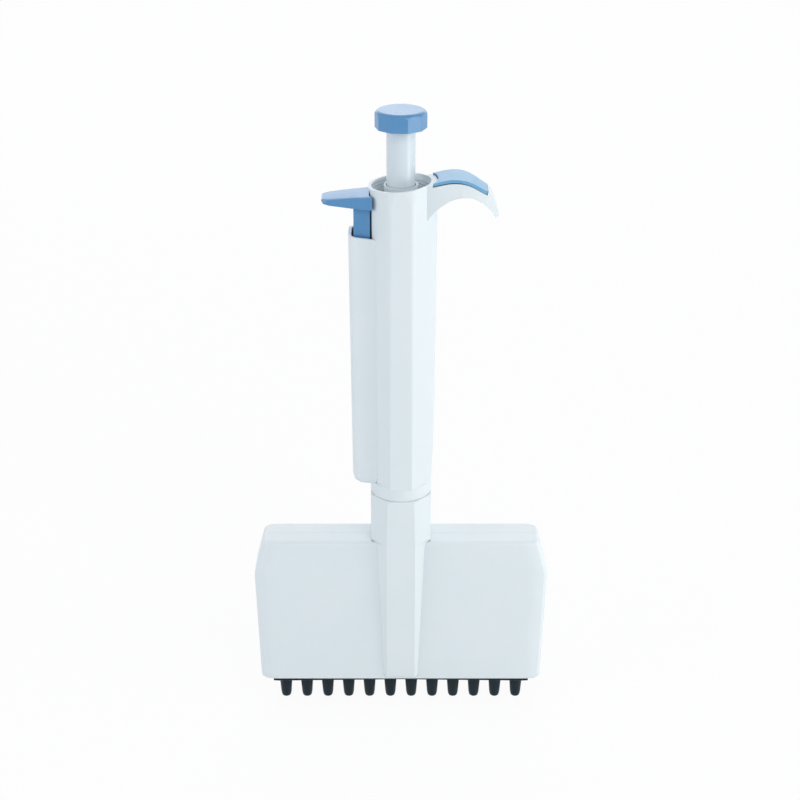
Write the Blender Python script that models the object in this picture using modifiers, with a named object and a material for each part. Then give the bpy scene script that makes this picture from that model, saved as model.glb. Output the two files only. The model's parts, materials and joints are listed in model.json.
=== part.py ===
"""Twelve-channel adjustable pipette: handle, plunger, tip ejector and swivelling head.

Metres, +Z up. The origin is in the plane of the nozzle ends, on the plunger's axis. The row of
channels runs along X and the finger hook points to +X. The heights follow from the strokes:
each level is worked out from the one below it, from the nozzles up to the plunger's knob.
"""

import math

import bmesh
import bpy
from mathutils import Matrix, Vector

# Clearances
SEAT_GAP = 0.0003
RUN_GAP = 0.0003
STROKE_GAP = 0.001

# Strokes and channels
PLUNGER_STROKE = 0.015
EJECTOR_STROKE = 0.008
CHANNELS = 12
CHANNEL_PITCH = 0.009
ROW_HALF = (CHANNELS - 1) * CHANNEL_PITCH / 2

# Tip cones and their cylinders
NOZZLE_LENGTH = 0.01335
NOZZLE_RADIUS = 0.00282
NOZZLE_TAPER_TOP = 0.0105
NOZZLE_LEAD_IN = [(0.00221, 0.0018), (0.00205, 0.0009), (0.00183, 0.00015), (0.00165, 0)]
NOZZLE_BORE = 0.0009
PISTON_RADIUS = 0.0023
CYLINDER_WALL = 0.0007
FLANGE_RADIUS = 0.00355
FLANGE_THICKNESS = 0.0015
CYLINDER_FLOOR = 0.0015
PISTON_REACH = 0.0025

# Head
HEAD_WALL = 0.0014
HEAD_HALF_DEPTH = 0.00855
HEAD_END_MARGIN = 0.0097
HEAD_FLARE = 0.0012
HEAD_SHOULDER = 0.0040
HEAD_SHOULDER_HEIGHT = 0.0152
HEAD_SIDE_ROUND = 0.007
HEAD_FACE_ROUND = 0.0025
HEAD_EDGE_ROUND = 0.0008
HEAD_FOOT_ROUND = 0.0018
HEAD_WAIST_ROUND = 0.012
HEAD_TOP_ROUND = 0.0022
BLOCK_CORNER_SHARE = 0.62
HEAD_ROOM = 0.0044
BASE_RISE = 0.0005
BASE_THICKNESS = 0.0036
RETAINER_THICKNESS = 0.0025
CARRIAGE_HEIGHT = 0.0046
CARRIAGE_WALL = 0.0012
CARRIAGE_LIP = 0.0013
PISTON_HEAD_RADIUS = 0.0033
PISTON_HEAD_THICKNESS = 0.0012
BRIDGE_THICKNESS = 0.003
BRIDGE_HALF_DEPTH = 0.004

# Ejector plate
PLATE_END_MARGIN = 0.00485
PLATE_HALF_DEPTH = 0.0056
PLATE_THICKNESS = 0.0022
PLATE_ARCH = 0.0007
PLATE_GAP = 0.0006
PLATE_EDGE_ROUND = 0.0006
PLATE_TOP_EDGE = 0.0001
LEG_THICKNESS = 0.0010
LEG_HALF_WIDTH = 0.003

# Neck and spines
FACET_HALF = 0.0054
NECK_FRONT = 0.0125
NECK_SIDE = 0.0121
NECK_HEIGHT = 0.0209
NECK_BORE = 0.010
NECK_DECK = 0.0042
NECK_EDGE_ROUND = 0.0006
SPINE_END_FRONT = 0.0099
SPINE_END_RISE = 0.0026
SPINE_WALL = 0.0016
SPINE_LEAD_IN = 0.0005
COLLAR_HEIGHT = 0.006
BUSH_WALL = 0.001
BUSH_FLANGE = 0.0014
BUSH_FLANGE_THICKNESS = 0.0015
CUP_HEIGHT = 0.006

# Rod, ejector tube and what stands on the axis in the handle
ROD_RADIUS = 0.002
ROD_HEAD_HEIGHT = 0.004
EJECTOR_TUBE_BORE = 0.0046
EJECTOR_TUBE_RADIUS = 0.0059
YOKE_DROP = 0.0105
LINK_THICKNESS = 0.0035
LINK_HALF_WIDTH = 0.002
LEDGE_THICKNESS = 0.0012
LEDGE_WIDTH = 0.0015
SPRING_SEAT_THICKNESS = 0.002
MAIN_SPRING_RADIUS = 0.0042
MAIN_SPRING_WIRE = 0.0009
MAIN_SPRING_TURNS = 7
BLOWOUT_SPRING_RADIUS = 0.0078
BLOWOUT_SPRING_WIRE = 0.0012
BLOWOUT_SPRING_HEIGHT = 0.008
BLOWOUT_SPRING_TURNS = 3
WASHER_THICKNESS = 0.0015
STOP_COLLAR_RADIUS = 0.0066
STOP_COLLAR_THICKNESS = 0.003
SCREW_RADIUS = 0.005
SCREW_LENGTH = 0.017
SCREW_KEY_RADIUS = 0.0033
KEY_ENGAGEMENT = 0.007
NUT_RISE = 0.005
NUT_THICKNESS = 0.008
TUBE_RADIUS = 0.0054
CAGE_WALL = 0.0009
CAGE_FLANGE = 0.002
DIGIT_RINGS = 3
RING_HEIGHT = 0.0044
RING_INNER_RADIUS = 0.007
RING_RADIUS = 0.0094
CALIBRATION_HEIGHT = 0.0035
GUIDE_WALL = 0.0007
GUIDE_DISC = 0.0015
POCKET_HALF_WIDTH = 0.0025
NOTCH_HALF_WIDTH = 0.0008
DECK_RISE = 0.0094
DECK_THICKNESS = 0.0014
WELL_DEPTH = 0.0055
BOSS_DROP = 0.0006

# Handle shell
HANDLE_BORE = 0.010
LEFT_WALL = 0.001
FRONT_WALL = 0.0023
RIGHT_WALL_BOTTOM = 0.0022
RIGHT_WALL_SHELF = 0.0031
RIGHT_WALL_COUNTER = 0.0035
RIGHT_WALL_TOP = 0.0037
EDGE_ROUND_BOTTOM = 0.0008
EDGE_ROUND_SHELF = 0.0010
EDGE_ROUND_COUNTER = 0.0016
EDGE_ROUND_TOP = 0.0030
EDGE_ROUND_RIM = 0.0070
HANDLE_FACET_HALF = 0.0044
WELL_WIDENING = 0.0004
RIM_BORE = 0.0114
RIM_WALL = 0.0007
RIM_BORE_DRAFT = 0.0002
RIM_TILT = math.radians(5)
RIM_HEIGHT = 0.003

# Finger hook: points of its side view, from the plunger's axis and the handle's top
HOOK_HALF_WIDTH = 0.0071
HOOK_EDGE = 0.0004
HOOK_ROOT = (0.0085, -0.0150)
HOOK_THROAT = (0.0142, -0.0080)
HOOK_CROWN = (0.0240, -0.0040)
HOOK_BEND = (0.0313, -0.0074)
HOOK_TIP = (0.0353, -0.0127)
HOOK_TIP_OUTER = (0.0368, -0.0123)
HOOK_OUTER = (0.0352, -0.0069)
HOOK_SHOULDER = (0.0330, -0.0026)
HOOK_PLAN = [(0, 0.0080), (0.018, 0.0080), (0.024, 0.0068), (0.028, 0.0061), (0.032, 0.0049),
             (0.037, 0.0028)]
INLAY_START = (0.0095, 0.0012)
INLAY_APEX = (0.0226, 0.0028)
INLAY_END = (0.0323, -0.0020)
INLAY_THICKNESS = 0.0012
INLAY_SLANT = 0.0006

# Ejector button, its rod and their cover
BUTTON_LENGTH = 0.0296
BUTTON_DROP = 0.0036
BUTTON_SLOPE = 0.0015
BUTTON_DEPTH = 0.0052
BUTTON_LOWER_SLOPE = 0.0016
BUTTON_WRAP = 0.0004
BUTTON_HALF_WIDTH = 0.0076
BUTTON_END_HALF_WIDTH = 0.0051
BUTTON_TIP = 0.003
BUTTON_TIP_ROUND = 0.0007
BUTTON_TOP_EDGE = 0.0012
BUTTON_LOWER_EDGE = 0.0008
STEM_STEP = 0.0001
STEM_GAP = 0.0010
STEM_INNER = 0.0116
STEM_INSERT = 0.0055
RIB_HALF_WIDTH = 0.0015
GROOVE_DEPTH = 0.0005
BUTTON_GAP = 0.0005
BUTTON_SHOWN = 0.0021
EJECTOR_ROD_X = 0.0150
EJECTOR_ROD_HALF = 0.0018
EJECTOR_PIN_RADIUS = 0.0013
EJECTOR_SPRING_RADIUS = 0.0023
EJECTOR_SPRING_WIRE = 0.0006
EJECTOR_SPRING_HEIGHT = 0.025
EJECTOR_SPRING_TURNS = 9
SHELF_RISE = 0.010
SHELF_THICKNESS = 0.0027
COVER_X = 0.0198
COVER_TAPER = 0.0006
COVER_HALF_WIDTH = 0.007
COVER_WALL = 0.001
COVER_ROUND = 0.0030
COVER_FLOOR = 0.0015
COVER_DROP = 0.0007
COVER_LAP = 0.0018
COVER_EDGE_GAP = 0.0010
COVER_LIP_EDGE = 0.00005
COVER_FOOT = [(0, 0.0016, 0.0008), (0.0010, 0.0005, 0.0003), (0.0032, 0, 0)]
COVER_FOOT_RISE = 0.0012
COVER_RIM_FALL = 0.0015
WINDOW_HALF_WIDTH = 0.003
WINDOW_THICKNESS = 0.0014
WINDOW_MARGIN = 0.0005

# Knob
KNOB_SIDES = 10
KNOB_RADIUS = 0.0097
KNOB_HEIGHT = 0.0066
KNOB_REST_TURN = math.radians(-3.3)
KNOB_SHOULDER = 0.0025
KNOB_TOP_RADIUS = 0.00775
KNOB_ROUND_MARGIN = 0.0001
KNOB_FOOT_HEIGHT = 0.0004
KNOB_FOOT_INSET = 0.0007
KNOB_SOCKET = 0.0032
TUBE_SHOWN = 0.0216

# Levels, from the nozzle ends up
HEAD_BOTTOM = NOZZLE_LENGTH
BASE_BOTTOM = HEAD_BOTTOM + BASE_RISE
BASE_TOP = BASE_BOTTOM + BASE_THICKNESS
FLANGE_BOTTOM = BASE_TOP + SEAT_GAP
FLANGE_TOP = FLANGE_BOTTOM + FLANGE_THICKNESS
BORE_BOTTOM = FLANGE_TOP + CYLINDER_FLOOR
CYLINDER_TOP = BORE_BOTTOM + STROKE_GAP + PLUNGER_STROKE + PISTON_REACH
RETAINER_BOTTOM = CYLINDER_TOP + SEAT_GAP
RETAINER_TOP = RETAINER_BOTTOM + RETAINER_THICKNESS
PISTON_BOTTOM = CYLINDER_TOP - PISTON_REACH
CARRIAGE_BOTTOM = RETAINER_TOP + PLUNGER_STROKE + STROKE_GAP
CARRIAGE_TOP = CARRIAGE_BOTTOM + CARRIAGE_HEIGHT
BRIDGE_BOTTOM = CARRIAGE_TOP + EJECTOR_STROKE + STROKE_GAP
BRIDGE_TOP = BRIDGE_BOTTOM + BRIDGE_THICKNESS
HEAD_TOP = BRIDGE_TOP + HEAD_ROOM + HEAD_WALL
HEAD_WAIST = HEAD_TOP - HEAD_SHOULDER_HEIGHT
NECK_BOTTOM = HEAD_TOP + SEAT_GAP
NECK_TOP = HEAD_TOP + NECK_HEIGHT
COLLAR_BOTTOM = NECK_TOP + RUN_GAP
HANDLE_BOTTOM = NECK_TOP + COLLAR_HEIGHT
CUP_TOP = HANDLE_BOTTOM + CUP_HEIGHT
BUSH_FLANGE_BOTTOM = HANDLE_BOTTOM + BUSH_FLANGE_THICKNESS
YOKE_TOP = NECK_TOP - YOKE_DROP
LINK_BOTTOM = CUP_TOP + EJECTOR_STROKE + STROKE_GAP
LINK_TOP = LINK_BOTTOM + LINK_THICKNESS
LEDGE_BOTTOM = LINK_TOP + STROKE_GAP
LEDGE_TOP = LEDGE_BOTTOM + LEDGE_THICKNESS
SPRING_SEAT_BOTTOM = LEDGE_TOP + SEAT_GAP
SPRING_SEAT_TOP = SPRING_SEAT_BOTTOM + SPRING_SEAT_THICKNESS
BLOWOUT_BOTTOM = SPRING_SEAT_TOP + SEAT_GAP
WASHER_BOTTOM = BLOWOUT_BOTTOM + BLOWOUT_SPRING_HEIGHT + SEAT_GAP
WASHER_TOP = WASHER_BOTTOM + WASHER_THICKNESS
STOP_COLLAR_BOTTOM = WASHER_TOP + SEAT_GAP + PLUNGER_STROKE
STOP_COLLAR_TOP = STOP_COLLAR_BOTTOM + STOP_COLLAR_THICKNESS
SCREW_BOTTOM = STOP_COLLAR_TOP + SEAT_GAP
SCREW_SHOULDER = SCREW_BOTTOM + SCREW_LENGTH
NUT_BOTTOM = SCREW_BOTTOM + NUT_RISE
NUT_TOP = NUT_BOTTOM + NUT_THICKNESS
TUBE_BOTTOM = SCREW_SHOULDER + STROKE_GAP + PLUNGER_STROKE
SCREW_TOP = TUBE_BOTTOM + KEY_ENGAGEMENT
CAGE_BOTTOM = TUBE_BOTTOM
RINGS_BOTTOM = CAGE_BOTTOM + CAGE_FLANGE + RUN_GAP
RING_PITCH = RING_HEIGHT + RUN_GAP
CAGE_TOP = RINGS_BOTTOM + DIGIT_RINGS * RING_PITCH
GUIDE_BOTTOM = CAGE_TOP + SEAT_GAP
CALIBRATION_BOTTOM = GUIDE_BOTTOM + GUIDE_DISC + RUN_GAP
CALIBRATION_TOP = CALIBRATION_BOTTOM + CALIBRATION_HEIGHT
DECK_BOTTOM = CALIBRATION_TOP + DECK_RISE
DECK_TOP = DECK_BOTTOM + DECK_THICKNESS
HANDLE_TOP = DECK_TOP + WELL_DEPTH
BOSS_TOP = HANDLE_TOP - BOSS_DROP
KNOB_BOTTOM = BOSS_TOP + TUBE_SHOWN
KNOB_TOP = KNOB_BOTTOM + KNOB_HEIGHT
ARM_TOP = HANDLE_TOP - BUTTON_DROP
ARM_BOTTOM = ARM_TOP - BUTTON_DEPTH
COVER_TOP = ARM_BOTTOM - EJECTOR_STROKE - BUTTON_SHOWN
STEM_BOTTOM = COVER_TOP - STEM_INSERT
COVER_BOTTOM = HANDLE_BOTTOM - COVER_DROP
SHELF_BOTTOM = LINK_TOP + SHELF_RISE
SHELF_TOP = SHELF_BOTTOM + SHELF_THICKNESS
PIN_TOP = SHELF_TOP + EJECTOR_SPRING_HEIGHT + 2 * SEAT_GAP

# Sizes across, from the pieces that fit in each other
INNER_HALF_DEPTH = HEAD_HALF_DEPTH - HEAD_WALL
BLOCK_HALF_DEPTH = INNER_HALF_DEPTH - SEAT_GAP
HEAD_HALF_BOTTOM = ROW_HALF + HEAD_END_MARGIN
BLOCK_HALF_LENGTH = HEAD_HALF_BOTTOM - HEAD_WALL - SEAT_GAP
BLOCK_FACE_LENGTH = BLOCK_HALF_LENGTH - BLOCK_CORNER_SHARE * HEAD_SIDE_ROUND
PLATE_HALF = ROW_HALF + PLATE_END_MARGIN
LEG_X = PLATE_HALF - LEG_THICKNESS / 2
CYLINDER_BORE = PISTON_RADIUS + RUN_GAP
CYLINDER_RADIUS = CYLINDER_BORE + CYLINDER_WALL
HANDLE_FRONT = HANDLE_BORE + FRONT_WALL
HANDLE_LEFT = HANDLE_BORE + LEFT_WALL
LEFT_FLAT_HALF = COVER_HALF_WIDTH - COVER_WALL - COVER_EDGE_GAP
COVER_EDGE_X = HANDLE_LEFT - COVER_LAP
STEM_OUTER = COVER_X - COVER_WALL - STEM_GAP
STEM_HALF_WIDTH = COVER_HALF_WIDTH - COVER_WALL - STEM_GAP
INSERT_RADIUS = HANDLE_BORE - SEAT_GAP
BUSH_BORE = EJECTOR_TUBE_RADIUS + RUN_GAP
BUSH_RADIUS = BUSH_BORE + BUSH_WALL
BUSH_FLANGE_RADIUS = BUSH_RADIUS + BUSH_FLANGE
TUBE_BORE = SCREW_KEY_RADIUS + RUN_GAP
BOSS_BORE = TUBE_RADIUS + RUN_GAP
BOSS_RADIUS = BOSS_BORE + GUIDE_WALL

# Smoothness
ROUND_STEPS = 20
SHOWN_STEPS = 32
KNOB_STEPS = 40
GUIDE_STEPS = 24
ROD_STEPS = 16
CHANNEL_STEPS = 10
HANDLE_CORNER_STEPS = 4
SIDE_VIEW_STEPS = 8
COIL_POINTS = 8
SMOOTH_ANGLE = math.radians(30)
MERGE_DISTANCE = 1e-6
ROUNDING_LIMIT = 0.49

# How far the corner of an eight-sided outline moves along its side as the outline grows by one
CORNER_SHIFT = math.tan(math.radians(22.5))

PARTS = bpy.data.collections.new("micropipette")
CUTTERS = bpy.data.collections.new("cutters")
MATERIALS = {}


def clear_scene():
    for obj in list(bpy.data.objects):
        bpy.data.objects.remove(obj, do_unlink=True)
    bpy.context.scene.collection.children.link(PARTS)
    bpy.context.scene.collection.children.link(CUTTERS)


def add_material(name, colour, roughness, metallic=0.0):
    material = bpy.data.materials.new(name)
    material.use_nodes = True
    shader = material.node_tree.nodes["Principled BSDF"]
    shader.inputs["Base Color"].default_value = (*colour, 1)
    shader.inputs["Roughness"].default_value = roughness
    shader.inputs["Metallic"].default_value = metallic
    material.diffuse_color = (*colour, 1)
    MATERIALS[name] = material


def make_materials():
    add_material("white_plastic", (0.72, 0.78, 0.82), 0.35)
    add_material("blue_plastic", (0.11, 0.29, 0.54), 0.35)
    add_material("black_plastic", (0.02, 0.035, 0.045), 0.45)
    add_material("grey_plastic", (0.40, 0.45, 0.48), 0.5)
    add_material("clear_plastic", (0.75, 0.82, 0.85), 0.1)
    add_material("steel", (0.60, 0.61, 0.62), 0.3, 1.0)
    add_material("brass", (0.72, 0.52, 0.22), 0.35, 1.0)


def add_body(name, location=(0, 0, 0)):
    """An empty that a moving group hangs on, with its origin on the joint's axis."""
    empty = bpy.data.objects.new(name, None)
    empty.location = location
    empty.empty_display_size = 0.01
    PARTS.objects.link(empty)
    return empty


def finish(obj, material, body=None, location=(0, 0, 0)):
    """Put a piece in its place, in its material and on its body."""
    obj.data.materials.append(MATERIALS[material])
    PARTS.objects.link(obj)
    obj.parent = body
    offset = body.location if body else Vector((0, 0, 0))
    obj.location = Vector(location) - offset
    if obj.type == "MESH":
        obj.data.shade_smooth()
        obj.data.set_sharp_from_angle(angle=SMOOTH_ANGLE)
    return obj


def mesh_object(name, bm):
    mesh = bpy.data.meshes.new(name)
    bmesh.ops.recalc_face_normals(bm, faces=bm.faces)
    bm.to_mesh(mesh)
    bm.free()
    return bpy.data.objects.new(name, mesh)


def as_cutter(obj):
    CUTTERS.objects.link(obj)
    obj.hide_render = True
    obj.display_type = "WIRE"
    return obj


def apply_boolean(obj, operation, *others):
    for other in others:
        modifier = obj.modifiers.new(f"{operation.lower()} {other.name}", "BOOLEAN")
        modifier.operation = operation
        modifier.object = other


def cut(obj, *cutters):
    apply_boolean(obj, "DIFFERENCE", *cutters)


def join(obj, *others):
    apply_boolean(obj, "UNION", *others)


def box(name, low, high, bevel=0.0, turn=None):
    """A box between two corners, its edges rounded by bevel, turned by a matrix about its middle."""
    low, high = Vector(low), Vector(high)
    bm = bmesh.new()
    bmesh.ops.create_cube(bm, size=1)
    bmesh.ops.scale(bm, vec=high - low, verts=bm.verts)
    if bevel:
        bmesh.ops.bevel(bm, geom=bm.edges, offset=bevel, segments=2, profile=0.5, affect="EDGES")
    if turn is not None:
        bmesh.ops.transform(bm, matrix=turn, verts=bm.verts)
    bmesh.ops.translate(bm, vec=(low + high) / 2, verts=bm.verts)
    return mesh_object(name, bm)


def turned(name, profile, steps=ROUND_STEPS):
    """A ring or a disc turned about Z from (radius, height) points that run down the outer side."""
    bm = bmesh.new()
    points = [bm.verts.new((radius, 0, height)) for radius, height in profile]
    for first, second in zip(points, points[1:]):
        bm.edges.new((first, second))
    if profile[0][0] > 0:
        bm.edges.new((points[-1], points[0]))
    mesh = bpy.data.meshes.new(name)
    bm.to_mesh(mesh)
    bm.free()
    obj = bpy.data.objects.new(name, mesh)
    screw = obj.modifiers.new("turn", "SCREW")
    screw.steps = screw.render_steps = steps
    screw.use_merge_vertices = True
    screw.merge_threshold = MERGE_DISTANCE
    screw.use_smooth_shade = False
    return obj


def ring(name, outer, inner, bottom, top, steps=ROUND_STEPS):
    return turned(name, [(outer, top), (outer, bottom), (inner, bottom), (inner, top)], steps)


def rod(name, radius, bottom, top, steps=ROUND_STEPS):
    return turned(name, [(0, top), (radius, top), (radius, bottom), (0, bottom)], steps)


def loft(name, sections):
    """A closed skin through outlines that have the same number of points."""
    bm = bmesh.new()
    rows = [[bm.verts.new(point) for point in section] for section in sections]
    for row, following in zip(rows, rows[1:]):
        for i in range(len(row)):
            j = (i + 1) % len(row)
            bm.faces.new((row[i], row[j], following[j], following[i]))
    bm.faces.new(rows[0])
    bm.faces.new(reversed(rows[-1]))
    return mesh_object(name, bm)


def rounded(corners, radius, steps=2):
    """A flat outline with its corners rounded, by one radius or one for each corner."""
    radii = [radius] * len(corners) if isinstance(radius, float) else radius
    points = []
    for i, corner in enumerate(corners):
        here = Vector(corner)
        before = (Vector(corners[i - 1]) - here)
        after = (Vector(corners[(i + 1) % len(corners)]) - here)
        half_angle = before.angle(after) / 2
        shorter = min(before.length, after.length)
        reach = min(radii[i] / math.tan(half_angle), ROUNDING_LIMIT * shorter)
        start = here + reach * before.normalized()
        end = here + reach * after.normalized()
        for step in range(steps + 1):
            t = step / steps
            points.append((1 - t) ** 2 * start + 2 * t * (1 - t) * here + t**2 * end)
    return points


def at_height(outline, z):
    return [(point[0], point[1], z) for point in outline]


def side_outline(name, points, half_width, edge):
    """A solid from a side view in X and Z, drawn by points with their handle types."""
    curve = bpy.data.curves.new(name, "CURVE")
    curve.dimensions = "2D"
    curve.fill_mode = "BOTH"
    curve.resolution_u = SIDE_VIEW_STEPS
    curve.extrude = half_width - edge
    curve.bevel_depth = edge
    curve.bevel_resolution = 1
    curve.offset = -edge
    spline = curve.splines.new("BEZIER")
    spline.bezier_points.add(len(points) - 1)
    spline.use_cyclic_u = True
    for point, ((x, z), handle) in zip(spline.bezier_points, points):
        point.co = (x, HANDLE_TOP + z, 0)
        point.handle_left_type = point.handle_right_type = handle
    obj = bpy.data.objects.new(name, curve)
    obj.rotation_euler = (math.radians(90), 0, 0)
    return to_mesh(obj)


def to_mesh(curve_object):
    """The mesh of a curve object, in the place that its matrix gives, with its caps welded."""
    CUTTERS.objects.link(curve_object)
    bpy.context.view_layer.update()
    graph = bpy.context.evaluated_depsgraph_get()
    mesh = bpy.data.meshes.new_from_object(curve_object.evaluated_get(graph))
    mesh.transform(curve_object.matrix_world)
    bm = bmesh.new()
    bm.from_mesh(mesh)
    bmesh.ops.remove_doubles(bm, verts=bm.verts, dist=MERGE_DISTANCE)
    name = curve_object.name
    bpy.data.objects.remove(curve_object, do_unlink=True)
    return mesh_object(name, bm)


def coil(name, radius, wire, bottom, top, turns):
    """A coil spring standing on Z between two levels, as a curve with a round wire."""
    curve = bpy.data.curves.new(name, "CURVE")
    curve.dimensions = "3D"
    curve.bevel_depth = wire / 2
    curve.bevel_resolution = 1
    curve.use_fill_caps = True
    count = turns * COIL_POINTS
    spline = curve.splines.new("POLY")
    spline.points.add(count)
    rise = top - bottom - wire
    for i, point in enumerate(spline.points):
        angle = 2 * math.pi * i / COIL_POINTS
        height = bottom + wire / 2 + rise * i / count
        point.co = (radius * math.cos(angle), radius * math.sin(angle), height, 1)
    return bpy.data.objects.new(name, curve)


def channel_places():
    return [-ROW_HALF + i * CHANNEL_PITCH for i in range(CHANNELS)]


def row_cutter(name, radius, bottom, top):
    """One cutter with a round hole's form at each channel, its corners in line with the turned ones."""
    bm = bmesh.new()
    quarter = Matrix.Rotation(math.radians(90), 4, "Z")
    for x in channel_places():
        place = Matrix.Translation((x, 0, (bottom + top) / 2)) @ quarter
        bmesh.ops.create_cone(bm, cap_ends=True, segments=CHANNEL_STEPS, radius1=radius,
                              radius2=radius, depth=top - bottom, matrix=place)
    return as_cutter(mesh_object(name, bm))


def leg_cutters(name, bottom, top):
    """Slots for the two ejector legs."""
    reach = LEG_THICKNESS / 2 + RUN_GAP
    cutters = []
    for side in (-1, 1):
        low = (side * LEG_X - reach, -LEG_HALF_WIDTH - RUN_GAP, bottom)
        high = (side * LEG_X + reach, LEG_HALF_WIDTH + RUN_GAP, top)
        cutters.append(as_cutter(box(f"{name} {side}", low, high)))
    return cutters


def make_cones(head):
    """Nozzle and cylinder in one piece, held by a flange on the base."""
    profile = [
        (CYLINDER_RADIUS, CYLINDER_TOP),
        (CYLINDER_RADIUS, FLANGE_TOP),
        (FLANGE_RADIUS, FLANGE_TOP),
        (FLANGE_RADIUS, FLANGE_BOTTOM),
        (NOZZLE_RADIUS, FLANGE_BOTTOM),
        (NOZZLE_RADIUS, NOZZLE_TAPER_TOP),
        *NOZZLE_LEAD_IN,
        (NOZZLE_BORE, 0),
        (NOZZLE_BORE, FLANGE_TOP),
        (CYLINDER_BORE, BORE_BOTTOM),
        (CYLINDER_BORE, CYLINDER_TOP),
    ]
    for i, x in enumerate(channel_places()):
        cone = turned(f"tip_cone_{i + 1:02d}", profile, CHANNEL_STEPS)
        finish(cone, "black_plastic", head, (x, 0, 0))


def head_block(name, bottom, top):
    """A bar that fills the head from cover to cover, its corners cut off inside their round ends."""
    end_depth = BLOCK_HALF_DEPTH - HEAD_FACE_ROUND
    half = [(BLOCK_FACE_LENGTH, -BLOCK_HALF_DEPTH), (BLOCK_HALF_LENGTH, -end_depth),
            (BLOCK_HALF_LENGTH, end_depth), (BLOCK_FACE_LENGTH, BLOCK_HALF_DEPTH)]
    outline = half + [(-x, -y) for x, y in half]
    return loft(name, [at_height(outline, bottom), at_height(outline, top)])


def make_cone_base(head):
    base = head_block("cone_base", BASE_BOTTOM, BASE_TOP)
    cut(base, row_cutter("cone holes", NOZZLE_RADIUS + SEAT_GAP, 0, HEAD_TOP))
    cut(base, *leg_cutters("base slot", 0, HEAD_TOP))
    finish(base, "grey_plastic", head)


def make_seal_retainer(head):
    retainer = head_block("seal_retainer", RETAINER_BOTTOM, RETAINER_TOP)
    cut(retainer, row_cutter("piston holes", PISTON_RADIUS + RUN_GAP, 0, HEAD_TOP))
    cut(retainer, *leg_cutters("retainer slot", 0, HEAD_TOP))
    finish(retainer, "grey_plastic", head)


def make_pistons(carriage):
    head_bottom = CARRIAGE_BOTTOM + CARRIAGE_LIP + SEAT_GAP
    profile = [
        (0, head_bottom + PISTON_HEAD_THICKNESS),
        (PISTON_HEAD_RADIUS, head_bottom + PISTON_HEAD_THICKNESS),
        (PISTON_HEAD_RADIUS, head_bottom),
        (PISTON_RADIUS, head_bottom),
        (PISTON_RADIUS, PISTON_BOTTOM),
        (0, PISTON_BOTTOM),
    ]
    for i, x in enumerate(channel_places()):
        piston = turned(f"piston_{i + 1:02d}", profile, CHANNEL_STEPS)
        finish(piston, "steel", carriage, (x, 0, 0))


def make_piston_carriage(carriage):
    """A channel bar that catches the pistons' heads, with the stem that the push rod drives."""
    inner = PISTON_HEAD_RADIUS + SEAT_GAP
    slot = PISTON_RADIUS + SEAT_GAP
    outer = inner + CARRIAGE_WALL
    lip_top = CARRIAGE_BOTTOM + CARRIAGE_LIP
    web = lip_top + 2 * SEAT_GAP + PISTON_HEAD_THICKNESS
    outline = [
        (-outer, CARRIAGE_BOTTOM), (-slot, CARRIAGE_BOTTOM), (-slot, lip_top), (-inner, lip_top),
        (-inner, web), (inner, web), (inner, lip_top), (slot, lip_top), (slot, CARRIAGE_BOTTOM),
        (outer, CARRIAGE_BOTTOM), (outer, CARRIAGE_TOP), (-outer, CARRIAGE_TOP),
    ]
    half = ROW_HALF + PISTON_HEAD_RADIUS
    bar = loft("piston_carriage", [[(x, y, z) for y, z in outline] for x in (-half, half)])
    stem_bottom = (web + CARRIAGE_TOP) / 2
    stem = rod("carriage stem", ROD_RADIUS, stem_bottom, YOKE_TOP - STROKE_GAP, ROD_STEPS)
    join(bar, as_cutter(stem))
    finish(bar, "grey_plastic", carriage)


def make_ejector_head(ejector_plate):
    """The arched plate round the cones, its two legs, and the bridge with its tube."""
    top = HEAD_BOTTOM - PLATE_GAP
    bottom = top - PLATE_THICKNESS
    end_start = PLATE_HALF - PLATE_THICKNESS
    stations = [(0, 0), (end_start / 2, 0.5), (end_start, 1), (PLATE_HALF, 0.8)]
    stations = [(-x, arch) for x, arch in reversed(stations[1:])] + stations
    sections = []
    for x, arch in stations:
        low = bottom - PLATE_ARCH * arch
        outline = rounded([(-PLATE_HALF_DEPTH, low), (PLATE_HALF_DEPTH, low),
                           (PLATE_HALF_DEPTH, top), (-PLATE_HALF_DEPTH, top)],
                          [PLATE_EDGE_ROUND, PLATE_EDGE_ROUND, PLATE_TOP_EDGE, PLATE_TOP_EDGE], 1)
        sections.append([(x, y, z) for y, z in outline])
    plate = loft("ejector_plate", sections)
    cut(plate, row_cutter("plate holes", NOZZLE_RADIUS + RUN_GAP, 0, HEAD_TOP))
    finish(plate, "black_plastic", ejector_plate)

    for side, name in ((-1, "ejector_leg_left"), (1, "ejector_leg_right")):
        low = (side * LEG_X - LEG_THICKNESS / 2, -LEG_HALF_WIDTH, top + SEAT_GAP)
        high = (side * LEG_X + LEG_THICKNESS / 2, LEG_HALF_WIDTH, BRIDGE_BOTTOM - SEAT_GAP)
        finish(box(name, low, high), "black_plastic", ejector_plate)

    low = (-PLATE_HALF, -BRIDGE_HALF_DEPTH, BRIDGE_BOTTOM)
    high = (PLATE_HALF, BRIDGE_HALF_DEPTH, BRIDGE_TOP)
    bridge = box("ejector_bridge", low, high)
    bridge_middle = (BRIDGE_BOTTOM + BRIDGE_TOP) / 2
    join(bridge, as_cutter(rod("yoke tube", EJECTOR_TUBE_RADIUS, bridge_middle, YOKE_TOP)))
    cut(bridge, as_cutter(rod("yoke bore", EJECTOR_TUBE_BORE, HEAD_BOTTOM, NECK_TOP)))
    finish(bridge, "black_plastic", ejector_plate)


def octagon(front, left, right, facet_half, left_flat_half, radius, steps=2):
    """An eight-sided outline whose right side has 45 degree facets."""
    right_flat_half = front - (right - facet_half)
    corners = [
        (facet_half, -front), (right, -right_flat_half), (right, right_flat_half),
        (facet_half, front), (-facet_half, front), (-left, left_flat_half),
        (-left, -left_flat_half), (-facet_half, -front),
    ]
    return rounded(corners, radius, steps)


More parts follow.
